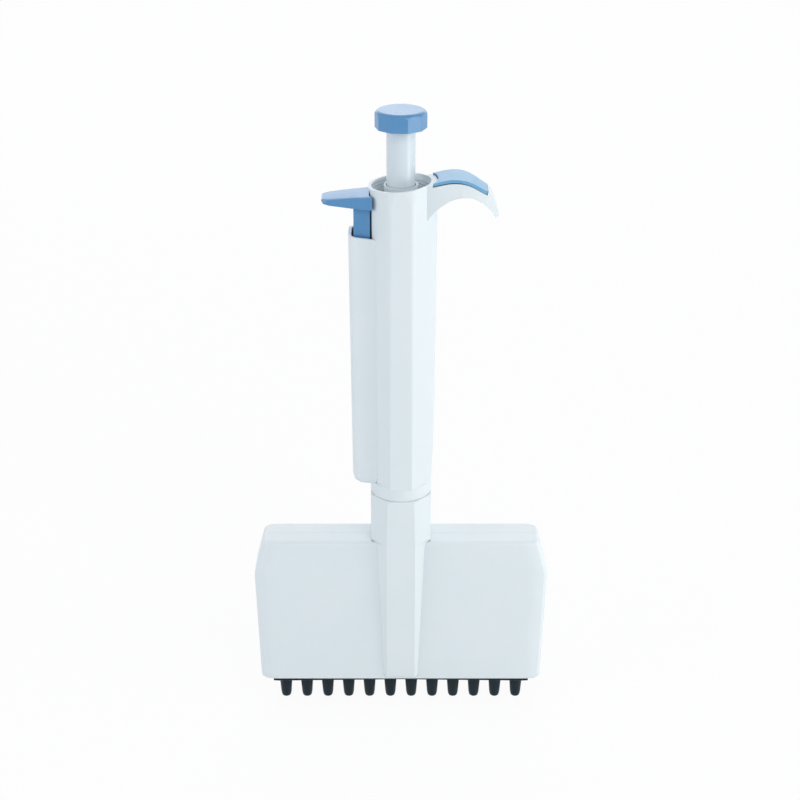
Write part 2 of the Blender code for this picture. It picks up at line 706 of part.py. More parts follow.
def spine_section(half, front, inner, z):
    """A trapezium with 45 degree flanks, from the front plane back to the inner plane."""
    back = half + front - inner
    return [(-half, -front, z), (half, -front, z), (back, -inner, z), (-back, -inner, z)]


def spine(name, grow, inner, bottom, mirror):
    """The spine's form on one side, larger by grow; it runs a little way up inside the neck."""
    half = FACET_HALF + CORNER_SHIFT * grow
    inset = SPINE_LEAD_IN
    sections = [
        spine_section(half, SPINE_END_FRONT + grow, inner, bottom),
        spine_section(half, NECK_FRONT + grow, inner, HEAD_TOP),
        spine_section(half - inset, NECK_FRONT + grow - inset, inner, HEAD_TOP + NECK_DECK),
    ]
    if mirror:
        sections = [[(x, -y, z) for x, y, z in section] for section in sections]
    return as_cutter(loft(f"{name} {'rear' if mirror else 'front'}", sections))


def make_neck(head):
    """The eight-sided neck, moulded with a spine down the front and the rear of the head."""
    side_flat = NECK_FRONT - (NECK_SIDE - FACET_HALF)
    outline = octagon(NECK_FRONT, NECK_SIDE, NECK_SIDE, FACET_HALF, side_flat,
                      NECK_EDGE_ROUND, 1)
    neck = loft("neck_spine", [at_height(outline, NECK_BOTTOM), at_height(outline, NECK_TOP)])
    end = HEAD_BOTTOM + SPINE_END_RISE
    hollow_end = end + SPINE_WALL
    for mirror in (False, True):
        join(neck, spine("spine", 0, INNER_HALF_DEPTH, end, mirror))
    for mirror in (False, True):
        cut(neck, spine("spine hollow", -SPINE_WALL, INNER_HALF_DEPTH - SPINE_WALL, hollow_end, mirror))
    cut(neck, as_cutter(rod("neck bore", NECK_BORE, HEAD_TOP - 2 * NECK_DECK, NECK_TOP - NECK_DECK)))
    cut(neck, as_cutter(rod("bush hole", BUSH_RADIUS + SEAT_GAP, HEAD_TOP, HANDLE_BOTTOM)))
    finish(neck, "white_plastic", head)

    flange_top = BUSH_FLANGE_BOTTOM + BUSH_FLANGE_THICKNESS
    profile = [
        (BUSH_FLANGE_RADIUS, flange_top), (BUSH_FLANGE_RADIUS, BUSH_FLANGE_BOTTOM),
        (BUSH_RADIUS, BUSH_FLANGE_BOTTOM), (BUSH_RADIUS, NECK_TOP - NECK_DECK),
        (BUSH_BORE, NECK_TOP - NECK_DECK), (BUSH_BORE, flange_top),
    ]
    finish(turned("swivel_bush", profile), "brass", head)


def head_outline(side_inset, edge_inset, bottom):
    """The head's front view: flared from the bottom to the waist, then drawn in to the top."""
    half_bottom = HEAD_HALF_BOTTOM - side_inset
    half_waist = half_bottom + HEAD_FLARE
    half_top = half_waist - HEAD_SHOULDER
    top = HEAD_TOP - edge_inset
    corners = [(-half_bottom, bottom), (half_bottom, bottom), (half_waist, HEAD_WAIST),
               (half_top, top), (-half_top, top), (-half_waist, HEAD_WAIST)]
    radii = [HEAD_FOOT_ROUND, HEAD_FOOT_ROUND, HEAD_WAIST_ROUND,
             HEAD_TOP_ROUND, HEAD_TOP_ROUND, HEAD_WAIST_ROUND]
    return rounded(corners, radii)


def head_form(name, wall, split, bottom, facing):
    """Half of the head, as thick as it is deep; wall draws every side in."""
    straight = HEAD_HALF_DEPTH - HEAD_FACE_ROUND
    layers = [(split, 0.0)]
    for degrees in (0, 35, 65, 90):
        layers.append((straight + HEAD_FACE_ROUND * math.sin(math.radians(degrees)) - wall,
                       1 - math.cos(math.radians(degrees))))
    sections = []
    for depth, turn in layers:
        edge = HEAD_EDGE_ROUND * turn
        outline = head_outline(wall + HEAD_SIDE_ROUND * turn, wall + edge, bottom + edge)
        sections.append([(x, facing * depth, z) for x, z in outline])
    return loft(name, sections)


def make_head_cover(name, facing, head):
    cover = head_form(name, 0, SEAT_GAP / 2, HEAD_BOTTOM, facing)
    below = HEAD_BOTTOM - 2 * HEAD_WALL
    cut(cover, as_cutter(head_form(f"{name} hollow", HEAD_WALL, -HEAD_WALL, below, facing)))
    slot_inner = INNER_HALF_DEPTH - HEAD_WALL
    slot_bottom = HEAD_BOTTOM + SPINE_END_RISE - SEAT_GAP
    cut(cover, spine(f"{name} slot", SEAT_GAP, slot_inner, slot_bottom, facing > 0))
    well = rod(f"{name} well", EJECTOR_TUBE_RADIUS + STROKE_GAP, BRIDGE_TOP, NECK_TOP)
    cut(cover, as_cutter(well))
    finish(cover, "white_plastic", head)


def handle_outline(left, right, radius, grow):
    shift = CORNER_SHIFT * grow
    return octagon(HANDLE_FRONT + grow, left + grow, right + grow, HANDLE_FACET_HALF + shift,
                   LEFT_FLAT_HALF + shift, radius, HANDLE_CORNER_STEPS)


def handle_form(name, grow=0.0):
    """The eight-sided grip that rounds off towards its rim."""
    rim_left = RIM_BORE + RIM_WALL
    flare_bottom = ARM_TOP - RIM_HEIGHT / 2
    stations = [
        (HANDLE_BOTTOM, HANDLE_LEFT, RIGHT_WALL_BOTTOM, EDGE_ROUND_BOTTOM),
        (SHELF_BOTTOM, HANDLE_LEFT, RIGHT_WALL_SHELF, EDGE_ROUND_SHELF),
        (CAGE_BOTTOM, HANDLE_LEFT, RIGHT_WALL_COUNTER, EDGE_ROUND_COUNTER),
        (flare_bottom, HANDLE_LEFT, RIGHT_WALL_TOP, EDGE_ROUND_TOP),
        (HANDLE_TOP - RIM_HEIGHT / 3, rim_left, RIGHT_WALL_TOP, EDGE_ROUND_RIM),
        (HANDLE_TOP + RIM_HEIGHT, rim_left, RIGHT_WALL_TOP, EDGE_ROUND_RIM),
    ]
    return loft(name, [at_height(handle_outline(left, HANDLE_BORE + wall, radius, grow), z)
                       for z, left, wall, radius in stations])


def make_handle():
    handle = handle_form("handle_shell")
    over = HANDLE_TOP + 4 * RIM_HEIGHT

    hook_points = [
        (HOOK_ROOT, "VECTOR"), (HOOK_THROAT, "AUTO"), (HOOK_CROWN, "AUTO"), (HOOK_BEND, "AUTO"),
        (HOOK_TIP, "VECTOR"), (HOOK_TIP_OUTER, "VECTOR"), (HOOK_OUTER, "AUTO"),
        (HOOK_SHOULDER, "AUTO"), (INLAY_APEX, "AUTO"), ((HOOK_ROOT[0], INLAY_START[1]), "VECTOR"),
    ]
    hook = side_outline("hook form", hook_points, HOOK_HALF_WIDTH, HOOK_EDGE)
    apply_boolean(hook, "INTERSECT", as_cutter(hook_plan("hook plan")))
    as_cutter(hook)

    shelf_low = (-COVER_X + COVER_TAPER + COVER_WALL + SEAT_GAP, -STEM_HALF_WIDTH, SHELF_BOTTOM)
    shelf_high = (-HANDLE_BORE - LEFT_WALL / 2, STEM_HALF_WIDTH, SHELF_TOP)
    join(handle, hook, as_cutter(box("spring shelf", shelf_low, shelf_high)))

    tilted = Matrix.Rotation(-RIM_TILT, 4, "Y")
    slab = 8 * RIM_HEIGHT
    top_low = (-2 * HANDLE_FRONT, -2 * HANDLE_FRONT, HANDLE_TOP)
    top_high = (2 * HANDLE_FRONT, 2 * HANDLE_FRONT, HANDLE_TOP + slab)
    top_cut = as_cutter(box("rim plane", top_low, top_high, turn=tilted))
    well_bore = HANDLE_BORE + WELL_WIDENING
    bore = [
        (0, over), (RIM_BORE + RIM_BORE_DRAFT, over), (RIM_BORE, HANDLE_TOP), (well_bore, ARM_TOP),
        (well_bore, DECK_BOTTOM - SEAT_GAP), (HANDLE_BORE, DECK_BOTTOM - SEAT_GAP),
        (HANDLE_BORE, LEDGE_TOP), (HANDLE_BORE - LEDGE_WIDTH, LEDGE_TOP),
        (HANDLE_BORE - LEDGE_WIDTH, LEDGE_BOTTOM), (HANDLE_BORE, LEDGE_BOTTOM),
        (HANDLE_BORE, NECK_TOP), (0, NECK_TOP),
    ]
    cut(handle, top_cut, as_cutter(turned("handle bore", bore, SHOWN_STEPS)))
    pocket = inlay_form("inlay pocket", SEAT_GAP)
    cut(pocket, as_cutter(rod("rim wall", HANDLE_BORE + RIGHT_WALL_TOP, DECK_BOTTOM, KNOB_BOTTOM)))
    cut(handle, as_cutter(pocket))

    slot_low = (-2 * HANDLE_BORE, -LINK_HALF_WIDTH - RUN_GAP, LINK_BOTTOM - EJECTOR_STROKE - RUN_GAP)
    slot_high = (-HANDLE_BORE / 2, LINK_HALF_WIDTH + RUN_GAP, LINK_TOP + RUN_GAP)
    cut(handle, as_cutter(box("link slot", slot_low, slot_high)))
    groove_low = (-2 * HANDLE_LEFT, -RIB_HALF_WIDTH - RUN_GAP, STEM_BOTTOM - EJECTOR_STROKE - STROKE_GAP)
    groove_high = (-HANDLE_LEFT + GROOVE_DEPTH, RIB_HALF_WIDTH + RUN_GAP, ARM_BOTTOM + STROKE_GAP)
    cut(handle, as_cutter(box("rib groove", groove_low, groove_high)))
    pin_hole = rod("pin hole", EJECTOR_PIN_RADIUS + RUN_GAP, LINK_TOP, PIN_TOP, CHANNEL_STEPS)
    pin_hole.location.x = -EJECTOR_ROD_X
    cut(handle, as_cutter(pin_hole))
    pane_low = Vector((-WINDOW_HALF_WIDTH, HANDLE_FRONT - WINDOW_THICKNESS, RINGS_BOTTOM - WINDOW_MARGIN))
    pane_high = Vector((WINDOW_HALF_WIDTH, HANDLE_FRONT, CAGE_TOP + WINDOW_MARGIN))
    room = Vector((SEAT_GAP, HANDLE_BORE / 2, SEAT_GAP))
    cut(handle, as_cutter(box("window hole", pane_low - room, pane_high + room)))
    finish(handle, "white_plastic")
    finish(box("counter_window", pane_low, pane_high), "clear_plastic")

    make_hook_inlay()


def hook_plan(name):
    """A tall form with the hook's plan, drawn in towards its tip."""
    plan = [(x, -half) for x, half in HOOK_PLAN] + [(x, half) for x, half in reversed(HOOK_PLAN)]
    return loft(name, [at_height(plan, COVER_TOP), at_height(plan, KNOB_BOTTOM)])


def inlay_form(name, grow):
    """The inlay's form, or with grow the room for it, open upwards and to both sides."""
    rise = 4 * grow
    depth = INLAY_THICKNESS + grow
    end = INLAY_END[0] + grow
    points = [
        ((INLAY_START[0], INLAY_START[1] + rise), "VECTOR"),
        ((INLAY_APEX[0], INLAY_APEX[1] + rise), "AUTO"), ((end, INLAY_END[1] + rise), "VECTOR"),
        ((end - INLAY_SLANT, INLAY_END[1] - depth), "VECTOR"),
        ((INLAY_APEX[0], INLAY_APEX[1] - depth), "AUTO"),
        ((INLAY_START[0], INLAY_START[1] - depth), "VECTOR"),
    ]
    return side_outline(name, points, HOOK_HALF_WIDTH + grow, INLAY_THICKNESS / 4)


def make_hook_inlay():
    """The soft insert on top of the hook, hollowed at its start round the handle's rim."""
    inlay = inlay_form("hook_inlay", 0)
    apply_boolean(inlay, "INTERSECT", as_cutter(hook_plan("inlay plan")))
    rim_radius = HANDLE_BORE + RIGHT_WALL_TOP + SEAT_GAP
    cut(inlay, as_cutter(rod("rim clearance", rim_radius, DECK_BOTTOM, KNOB_BOTTOM)))
    finish(inlay, "blue_plastic")


def cover_form(name, grow, bottom, top, edge_x):
    """The side cover's plan with two round corners, tapering down to a foot that slopes as its rim."""
    width = COVER_HALF_WIDTH + grow
    lower_x = COVER_X - COVER_TAPER + grow
    stations = [(bottom + rise, lower_x - inset, width - side_inset, COVER_FOOT_RISE)
                for rise, inset, side_inset in COVER_FOOT]
    stations.append((top - COVER_RIM_FALL, COVER_X + grow, width, COVER_RIM_FALL))
    sections = []
    for z, x, half, rise in stations:
        corners = [(-edge_x, -half), (-edge_x, half), (-x, half), (-x, -half)]
        radii = [COVER_LIP_EDGE, COVER_LIP_EDGE, COVER_ROUND + grow, COVER_ROUND + grow]
        slope = rise / (COVER_X - edge_x)
        sections.append([(point[0], point[1], z - slope * (point[0] + edge_x))
                         for point in rounded(corners, radii, 3)])
    return loft(name, sections)


def make_side_cover():
    cover = cover_form("ejector_side_cover", 0, COVER_BOTTOM, COVER_TOP, COVER_EDGE_X)
    hollow = cover_form("cover hollow", -COVER_WALL, COVER_BOTTOM + COVER_FLOOR, KNOB_BOTTOM,
                        COVER_EDGE_X - COVER_WALL)
    reach = HANDLE_BORE + RIGHT_WALL_BOTTOM + SEAT_GAP
    collar_room = rod("collar room", reach, NECK_BOTTOM, HANDLE_BOTTOM)
    cut(cover, as_cutter(hollow), as_cutter(collar_room))
    cut(cover, as_cutter(handle_form("cover clearance", SEAT_GAP)))
    finish(cover, "white_plastic")


def make_swivel_collar():
    collar_radius = HANDLE_BORE + RIGHT_WALL_BOTTOM
    cup_radius = BUSH_FLANGE_RADIUS + RUN_GAP
    ledge = BUSH_FLANGE_BOTTOM - RUN_GAP
    profile = [
        (INSERT_RADIUS, CUP_TOP), (INSERT_RADIUS, HANDLE_BOTTOM - SEAT_GAP),
        (collar_radius, HANDLE_BOTTOM - SEAT_GAP), (collar_radius, COLLAR_BOTTOM),
        (BUSH_RADIUS + RUN_GAP, COLLAR_BOTTOM), (BUSH_RADIUS + RUN_GAP, ledge),
        (cup_radius, ledge), (cup_radius, CUP_TOP),
    ]
    finish(turned("swivel_collar", profile, SHOWN_STEPS), "white_plastic")


def make_spring_stack():
    hole = ROD_RADIUS + RUN_GAP
    seat = ring("spring_seat", INSERT_RADIUS, hole, SPRING_SEAT_BOTTOM, SPRING_SEAT_TOP)
    finish(seat, "steel")
    blowout = coil("blowout_spring", BLOWOUT_SPRING_RADIUS, BLOWOUT_SPRING_WIRE, BLOWOUT_BOTTOM,
                   BLOWOUT_BOTTOM + BLOWOUT_SPRING_HEIGHT, BLOWOUT_SPRING_TURNS)
    finish(blowout, "steel")
    washer_hole = MAIN_SPRING_RADIUS + MAIN_SPRING_WIRE / 2 + RUN_GAP
    finish(ring("stop_washer", INSERT_RADIUS, washer_hole, WASHER_BOTTOM, WASHER_TOP), "steel")
    main = coil("plunger_spring", MAIN_SPRING_RADIUS, MAIN_SPRING_WIRE, BLOWOUT_BOTTOM,
                STOP_COLLAR_BOTTOM - SEAT_GAP, MAIN_SPRING_TURNS)
    finish(main, "steel")


def make_volume_nut():
    nut = ring("volume_nut", INSERT_RADIUS, SCREW_RADIUS + RUN_GAP, NUT_BOTTOM, NUT_TOP)
    finish(nut, "brass")


def make_counter(ring_bodies):
    cage_bore = TUBE_RADIUS + RUN_GAP
    sleeve = cage_bore + CAGE_WALL
    profile = [
        (sleeve, CAGE_TOP), (sleeve, CAGE_BOTTOM + CAGE_FLANGE),
        (INSERT_RADIUS, CAGE_BOTTOM + CAGE_FLANGE), (INSERT_RADIUS, CAGE_BOTTOM),
        (cage_bore, CAGE_BOTTOM), (cage_bore, CAGE_TOP),
    ]
    finish(turned("counter_cage", profile), "grey_plastic")
    for i, body in enumerate(ring_bodies):
        bottom = RINGS_BOTTOM + i * RING_PITCH
        wheel = ring(f"digit_ring_{i + 1}", RING_RADIUS, RING_INNER_RADIUS, bottom, bottom + RING_HEIGHT)
        finish(wheel, "white_plastic", body)


def make_top_guide():
    """The plunger's guide: a sleeve with a lower disc, and a deck with four pockets."""
    deck_radius = HANDLE_BORE + WELL_WIDENING - SEAT_GAP
    disc_top = GUIDE_BOTTOM + GUIDE_DISC
    profile = [
        (BOSS_RADIUS, BOSS_TOP), (BOSS_RADIUS, DECK_TOP), (deck_radius, DECK_TOP),
        (deck_radius, DECK_BOTTOM), (BOSS_RADIUS, DECK_BOTTOM), (BOSS_RADIUS, disc_top),
        (INSERT_RADIUS, disc_top), (INSERT_RADIUS, GUIDE_BOTTOM),
        (BOSS_BORE, GUIDE_BOTTOM), (BOSS_BORE, BOSS_TOP),
    ]
    guide = turned("top_guide", profile, GUIDE_STEPS)
    pocket_inner = BOSS_RADIUS + GUIDE_WALL
    pocket_outer = deck_radius - GUIDE_WALL
    for quarter in range(4):
        turn = Matrix.Rotation(math.radians(45 + 90 * quarter), 4, "Z")
        low = (pocket_inner, -POCKET_HALF_WIDTH, DECK_BOTTOM - GUIDE_DISC)
        pocket = box(f"guide pocket {quarter}", low, (pocket_outer, POCKET_HALF_WIDTH, BOSS_TOP))
        pocket.data.transform(turn)
        cut(guide, as_cutter(pocket))
    finish(guide, "white_plastic")


def make_calibration_ring(body):
    inner = BOSS_RADIUS + RUN_GAP
    wheel = ring("calibration_ring", INSERT_RADIUS, inner, CALIBRATION_BOTTOM, CALIBRATION_TOP)
    for quarter in range(4):
        turn = Matrix.Rotation(math.radians(45 + 90 * quarter), 4, "Z")
        low = (inner + GUIDE_WALL, -NOTCH_HALF_WIDTH, (CALIBRATION_BOTTOM + CALIBRATION_TOP) / 2)
        notch = box(f"key notch {quarter}", low, (2 * HANDLE_BORE, NOTCH_HALF_WIDTH, DECK_BOTTOM))
        notch.data.transform(turn)
        cut(wheel, as_cutter(notch))
    finish(wheel, "grey_plastic", body)


def make_volume_screw(body):
    hole = ROD_RADIUS + RUN_GAP
    profile = [
        (SCREW_KEY_RADIUS, SCREW_TOP), (SCREW_KEY_RADIUS, SCREW_SHOULDER),
        (SCREW_RADIUS, SCREW_SHOULDER), (SCREW_RADIUS, SCREW_BOTTOM),
        (hole, SCREW_BOTTOM), (hole, SCREW_TOP),
    ]
    finish(turned("volume_screw", profile), "brass", body)


def make_plunger(plunger, knob_body):
    rod_top = KNOB_BOTTOM + KNOB_SOCKET - SEAT_GAP
    head_radius = TUBE_BORE - SEAT_GAP
    head_bottom = rod_top - ROD_HEAD_HEIGHT
    rod_bottom = YOKE_TOP - STROKE_GAP + SEAT_GAP
    profile = [
        (0, rod_top), (head_radius, rod_top), (head_radius, head_bottom),
        (ROD_RADIUS, head_bottom), (ROD_RADIUS, rod_bottom), (0, rod_bottom),
    ]
    finish(turned("push_rod", profile, ROD_STEPS), "steel", plunger)
    collar = ring("rod_stop_collar", STOP_COLLAR_RADIUS, ROD_RADIUS + SEAT_GAP,
                  STOP_COLLAR_BOTTOM, STOP_COLLAR_TOP)
    finish(collar, "brass", plunger)
    tube = ring("plunger_tube", TUBE_RADIUS, TUBE_BORE, TUBE_BOTTOM, rod_top, SHOWN_STEPS)
    finish(tube, "white_plastic", knob_body)
    make_knob(knob_body)


def make_knob(knob_body):
    """A ten-sided knob with a round shoulder, so that each side ends in an arch."""
    def decagon(radius, z):
        points = []
        for side in range(KNOB_SIDES):
            angle = 2 * math.pi * (side + 0.5) / KNOB_SIDES - math.pi / 2 + KNOB_REST_TURN
            points.append((radius * math.cos(angle), radius * math.sin(angle), z))
        return points

    knob = loft("knob", [decagon(KNOB_RADIUS, KNOB_BOTTOM), decagon(KNOB_RADIUS, KNOB_TOP)])
    round_radius = KNOB_RADIUS + KNOB_ROUND_MARGIN
    profile = [(0, KNOB_TOP)]
    for degrees in (0, 30, 50, 70, 90):
        turn = math.radians(degrees)
        profile.append((KNOB_TOP_RADIUS + (round_radius - KNOB_TOP_RADIUS) * math.sin(turn),
                        KNOB_TOP - KNOB_SHOULDER * (1 - math.cos(turn))))
    profile += [
        (round_radius, KNOB_BOTTOM + KNOB_FOOT_HEIGHT), (round_radius - KNOB_FOOT_INSET, KNOB_BOTTOM),
        (0, KNOB_BOTTOM),
    ]
    apply_boolean(knob, "INTERSECT", as_cutter(turned("knob round", profile, KNOB_STEPS)))
    socket = rod("knob socket", TUBE_RADIUS + SEAT_GAP, HANDLE_TOP, KNOB_BOTTOM + KNOB_SOCKET)
    cut(knob, as_cutter(socket))
    finish(knob, "blue_plastic", knob_body)


def make_ejector_button(ejector):
    """The thumb arm that hugs the handle, and its stem with the rib that guides it."""
    inner_x = HANDLE_LEFT - BUTTON_WRAP
    tip_x = BUTTON_LENGTH - BUTTON_TIP
    tip_half = BUTTON_END_HALF_WIDTH
    narrowing = (BUTTON_HALF_WIDTH - tip_half) / (tip_x - inner_x)
    stations = [
        (inner_x, BUTTON_HALF_WIDTH, 0.0, 0.0),
        (STEM_OUTER, BUTTON_HALF_WIDTH - narrowing * (STEM_OUTER - inner_x), 0.25, 0.0),
        (tip_x, tip_half + BUTTON_TIP_ROUND, 0.85, 0.0),
        (BUTTON_LENGTH - BUTTON_TIP_ROUND, tip_half - BUTTON_TIP_ROUND, 1.0, 0.0),
        (BUTTON_LENGTH, tip_half - 2 * BUTTON_TIP_ROUND, 1.3, BUTTON_TIP_ROUND),
    ]
    radii = [BUTTON_LOWER_EDGE, BUTTON_LOWER_EDGE, BUTTON_TOP_EDGE, BUTTON_TOP_EDGE]
    sections = []
    for x, half, share, rise in stations:
        top = ARM_TOP - BUTTON_SLOPE * share
        bottom = ARM_BOTTOM + BUTTON_LOWER_SLOPE * share + rise
        outline = rounded([(-half, bottom), (half, bottom), (half, top), (-half, top)], radii)
        sections.append([(-x, y, z) for y, z in outline])
    button = loft("ejector_button", sections)
    arm_middle = (ARM_BOTTOM + ARM_TOP) / 2
    stem = box("button stem", (-STEM_OUTER + STEM_STEP, -STEM_HALF_WIDTH, STEM_BOTTOM),
               (-STEM_INNER, STEM_HALF_WIDTH, arm_middle))
    join(button, as_cutter(stem))
    cut(button, as_cutter(handle_form("handle clearance", BUTTON_GAP)))
    rib_x = HANDLE_LEFT - GROOVE_DEPTH + RUN_GAP
    rib = box("stem rib", (-(STEM_INNER + STEM_OUTER) / 2, -RIB_HALF_WIDTH, STEM_BOTTOM + STEM_STEP),
              (-rib_x, RIB_HALF_WIDTH, ARM_BOTTOM))
    join(button, as_cutter(rib))
    finish(button, "blue_plastic", ejector)


def make_ejector_drive(ejector):
    """The bar from the button to the shelf, its pin through the spring, and the link to the neck."""
    place = (-EJECTOR_ROD_X, 0, 0)
    half = EJECTOR_ROD_HALF
    bar = box("ejector_rod", (-half, -half, PIN_TOP), (half, half, STEM_BOTTOM - SEAT_GAP))
    pin_bottom = LINK_TOP + SEAT_GAP
    pin = as_cutter(rod("ejector pin", EJECTOR_PIN_RADIUS, pin_bottom, PIN_TOP + half, CHANNEL_STEPS))
    join(bar, pin)
    finish(bar, "steel", ejector, place)
    pin.location = place

    link = rod("ejector_link", EJECTOR_TUBE_RADIUS, YOKE_TOP + SEAT_GAP, LINK_TOP)
    arm = box("link arm", (-EJECTOR_ROD_X - half, -LINK_HALF_WIDTH, LINK_BOTTOM),
              (0, LINK_HALF_WIDTH, LINK_TOP))
    join(link, as_cutter(arm))
    cut(link, as_cutter(rod("link bore", EJECTOR_TUBE_BORE, NECK_BOTTOM, HANDLE_TOP)))
    finish(link, "grey_plastic", ejector)


def make_ejector_spring():
    spring = coil("ejector_spring", EJECTOR_SPRING_RADIUS, EJECTOR_SPRING_WIRE,
                  SHELF_TOP + SEAT_GAP, PIN_TOP - SEAT_GAP, EJECTOR_SPRING_TURNS)
    finish(spring, "steel", None, (-EJECTOR_ROD_X, 0, 0))


def main():
    clear_scene()
    make_materials()
    plunger = add_body("plunger_press", (0, 0, KNOB_BOTTOM))
    knob_body = add_body("knob_turn", (0, 0, KNOB_BOTTOM))
    screw_body = add_body("screw_turn", (0, 0, SCREW_BOTTOM))
    ring_bodies = [add_body(f"digit_turn_{i + 1}", (0, 0, RINGS_BOTTOM + i * RING_PITCH))
                   for i in range(DIGIT_RINGS)]
    calibration = add_body("calibration_turn", (0, 0, CALIBRATION_BOTTOM))
    ejector = add_body("ejector_press", (-EJECTOR_ROD_X, 0, ARM_TOP))
    head = add_body("head_swivel", (0, 0, NECK_TOP))
    carriage = add_body("piston_press", (0, 0, CARRIAGE_TOP))
    ejector_plate = add_body("plate_press", (0, 0, YOKE_TOP))

    make_handle()
    make_side_cover()
    make_swivel_collar()
    make_spring_stack()
    make_volume_nut()
    make_counter(ring_bodies)
    make_top_guide()
    make_calibration_ring(calibration)
    make_volume_screw(screw_body)
    make_plunger(plunger, knob_body)
    make_ejector_button(ejector)
    make_ejector_drive(ejector)
    make_ejector_spring()
    make_neck(head)
    make_head_cover("head_front_cover", -1, head)
    make_head_cover("head_rear_cover", 1, head)
    make_cone_base(head)
    make_cones(head)
    make_seal_retainer(head)
    make_piston_carriage(carriage)
    make_pistons(carriage)
    make_ejector_head(ejector_plate)


main()
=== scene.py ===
# %% [markdown]
# # A twelve-channel pipette
#
# A hand tool that fills a row of twelve wells at once. The frame gives its pieces, their sizes and
# how they move. This lesson gives it a camera, soft light and finishes, and models again the outer
# pieces whose curves and edges are seen from close by.

# %% Load the frame
import json
import math

import bpy
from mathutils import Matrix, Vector


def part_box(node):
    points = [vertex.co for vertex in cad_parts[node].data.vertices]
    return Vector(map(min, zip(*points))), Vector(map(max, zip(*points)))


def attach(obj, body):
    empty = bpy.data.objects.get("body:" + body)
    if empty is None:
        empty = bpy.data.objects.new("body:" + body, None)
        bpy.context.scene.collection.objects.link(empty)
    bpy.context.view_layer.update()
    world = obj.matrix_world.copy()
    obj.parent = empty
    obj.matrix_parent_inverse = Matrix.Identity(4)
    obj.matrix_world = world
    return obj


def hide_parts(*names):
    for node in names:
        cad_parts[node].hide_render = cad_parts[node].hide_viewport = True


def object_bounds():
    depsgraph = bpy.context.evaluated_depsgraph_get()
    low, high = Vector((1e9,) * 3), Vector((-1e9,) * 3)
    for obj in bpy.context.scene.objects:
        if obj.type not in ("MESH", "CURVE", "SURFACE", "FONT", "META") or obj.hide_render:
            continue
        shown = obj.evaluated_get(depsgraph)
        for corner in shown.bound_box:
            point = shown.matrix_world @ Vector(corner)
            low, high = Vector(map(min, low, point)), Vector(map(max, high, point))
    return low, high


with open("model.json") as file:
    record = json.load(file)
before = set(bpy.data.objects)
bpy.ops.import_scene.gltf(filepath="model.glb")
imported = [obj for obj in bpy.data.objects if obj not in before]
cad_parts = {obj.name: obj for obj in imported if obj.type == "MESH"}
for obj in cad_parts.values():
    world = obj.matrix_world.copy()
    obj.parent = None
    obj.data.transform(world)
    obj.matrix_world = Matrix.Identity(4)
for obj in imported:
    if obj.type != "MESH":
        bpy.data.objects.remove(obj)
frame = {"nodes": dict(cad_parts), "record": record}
frame_size = [list(corner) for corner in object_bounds()]
record = frame["record"]


def in_mm(corners):
    """Corners given in metres, as short numbers of millimetres."""
    return [[round(value * 1000, 1) for value in corner] for corner in corners]


print("frame in mm", in_mm(frame_size))

# %% [markdown]
# ## Camera
#
# The pipette was photographed from the front, from a little above. A long lens keeps its upright
# edges nearly parallel. A short lens from close by would splay the head, and a view with no
# perspective at all would lose the slight lean of the outer cones. The tilt and the distance were
# found from how far apart the cones stand at the bottom and how round the knob's top looks.

# %% Place the camera
LENS_MM = 70.56
SENSOR_MM = 36.0
NEAREST_SEEN = 0.01
CAMERA_PLACE = (-0.00035, -0.561, 0.40615)
CAMERA_TILT = math.radians(64.7)

lens = bpy.data.cameras.new("front view")
lens.lens = LENS_MM
lens.sensor_width = SENSOR_MM
lens.clip_start = NEAREST_SEEN
camera = bpy.data.objects.new("front view", lens)
camera.location = CAMERA_PLACE
camera.rotation_euler = (CAMERA_TILT, 0.0, 0.0)
bpy.context.scene.collection.objects.link(camera)
bpy.context.scene.camera = camera
print("camera", [round(value, 4) for value in camera.location])

# %% [markdown]
# ## Hands for modelling
#
# An operator works on whatever is selected, and the frame's nodes come in selected. So each step
# starts by letting go of everything and taking hold of one piece.


# %% Take hold of one piece
def let_go():
    """Leave edit mode and let go of everything."""
    if bpy.context.mode != "OBJECT":
        bpy.ops.object.mode_set(mode="OBJECT")
    bpy.ops.object.select_all(action="DESELECT")


def take(piece):
    """Let go of everything and make this piece the selected and active one."""
    let_go()
    piece.select_set(True)
    bpy.context.view_layer.objects.active = piece


def name_new(name):
    """Name the primitive that was just added."""
    piece = bpy.context.object
    piece.name = name
    piece.data.name = name
    return piece


# %% [markdown]
# ## Wires between nodes
#
# The floor, the room and every finish are made of shader nodes. In the editor a socket gets its
# value when a number is typed in or a wire is pulled to it. These helpers do the same in code: a
# plain number is typed in, and anything else is wired.


# %% Type in or wire
def feed(tree, socket, value):
    """Type a plain number into a socket, or wire another socket to it."""
    if isinstance(value, float):
        socket.default_value = value
    else:
        tree.links.new(value, socket)


def add_math(tree, operation, first, second):
    """The result of one operation on two numbers or sockets."""
    made = tree.nodes.new("ShaderNodeMath")
    made.operation = operation
    feed(tree, made.inputs[0], first)
    feed(tree, made.inputs[1], second)
    return made.outputs["Value"]


def looking_rays(tree):
    """One for a ray that comes from the camera, off gloss or through glass, and nought for others."""
    path = tree.nodes.new("ShaderNodeLightPath")
    seen = add_math(tree, "MAXIMUM", path.outputs["Is Camera Ray"], path.outputs["Is Glossy Ray"])
    return add_math(tree, "MAXIMUM", seen, path.outputs["Is Transmission Ray"])


def blend_shaders(tree, share, first, second, output):
    """Blend two shaders, with this share of the second one, and wire them to the output node."""
    blend = tree.nodes.new("ShaderNodeMixShader")
    tree.links.new(share, blend.inputs["Fac"])
    tree.links.new(first, blend.inputs[1])
    tree.links.new(second, blend.inputs[2])
    tree.links.new(blend.outputs["Shader"], tree.nodes[output].inputs["Surface"])


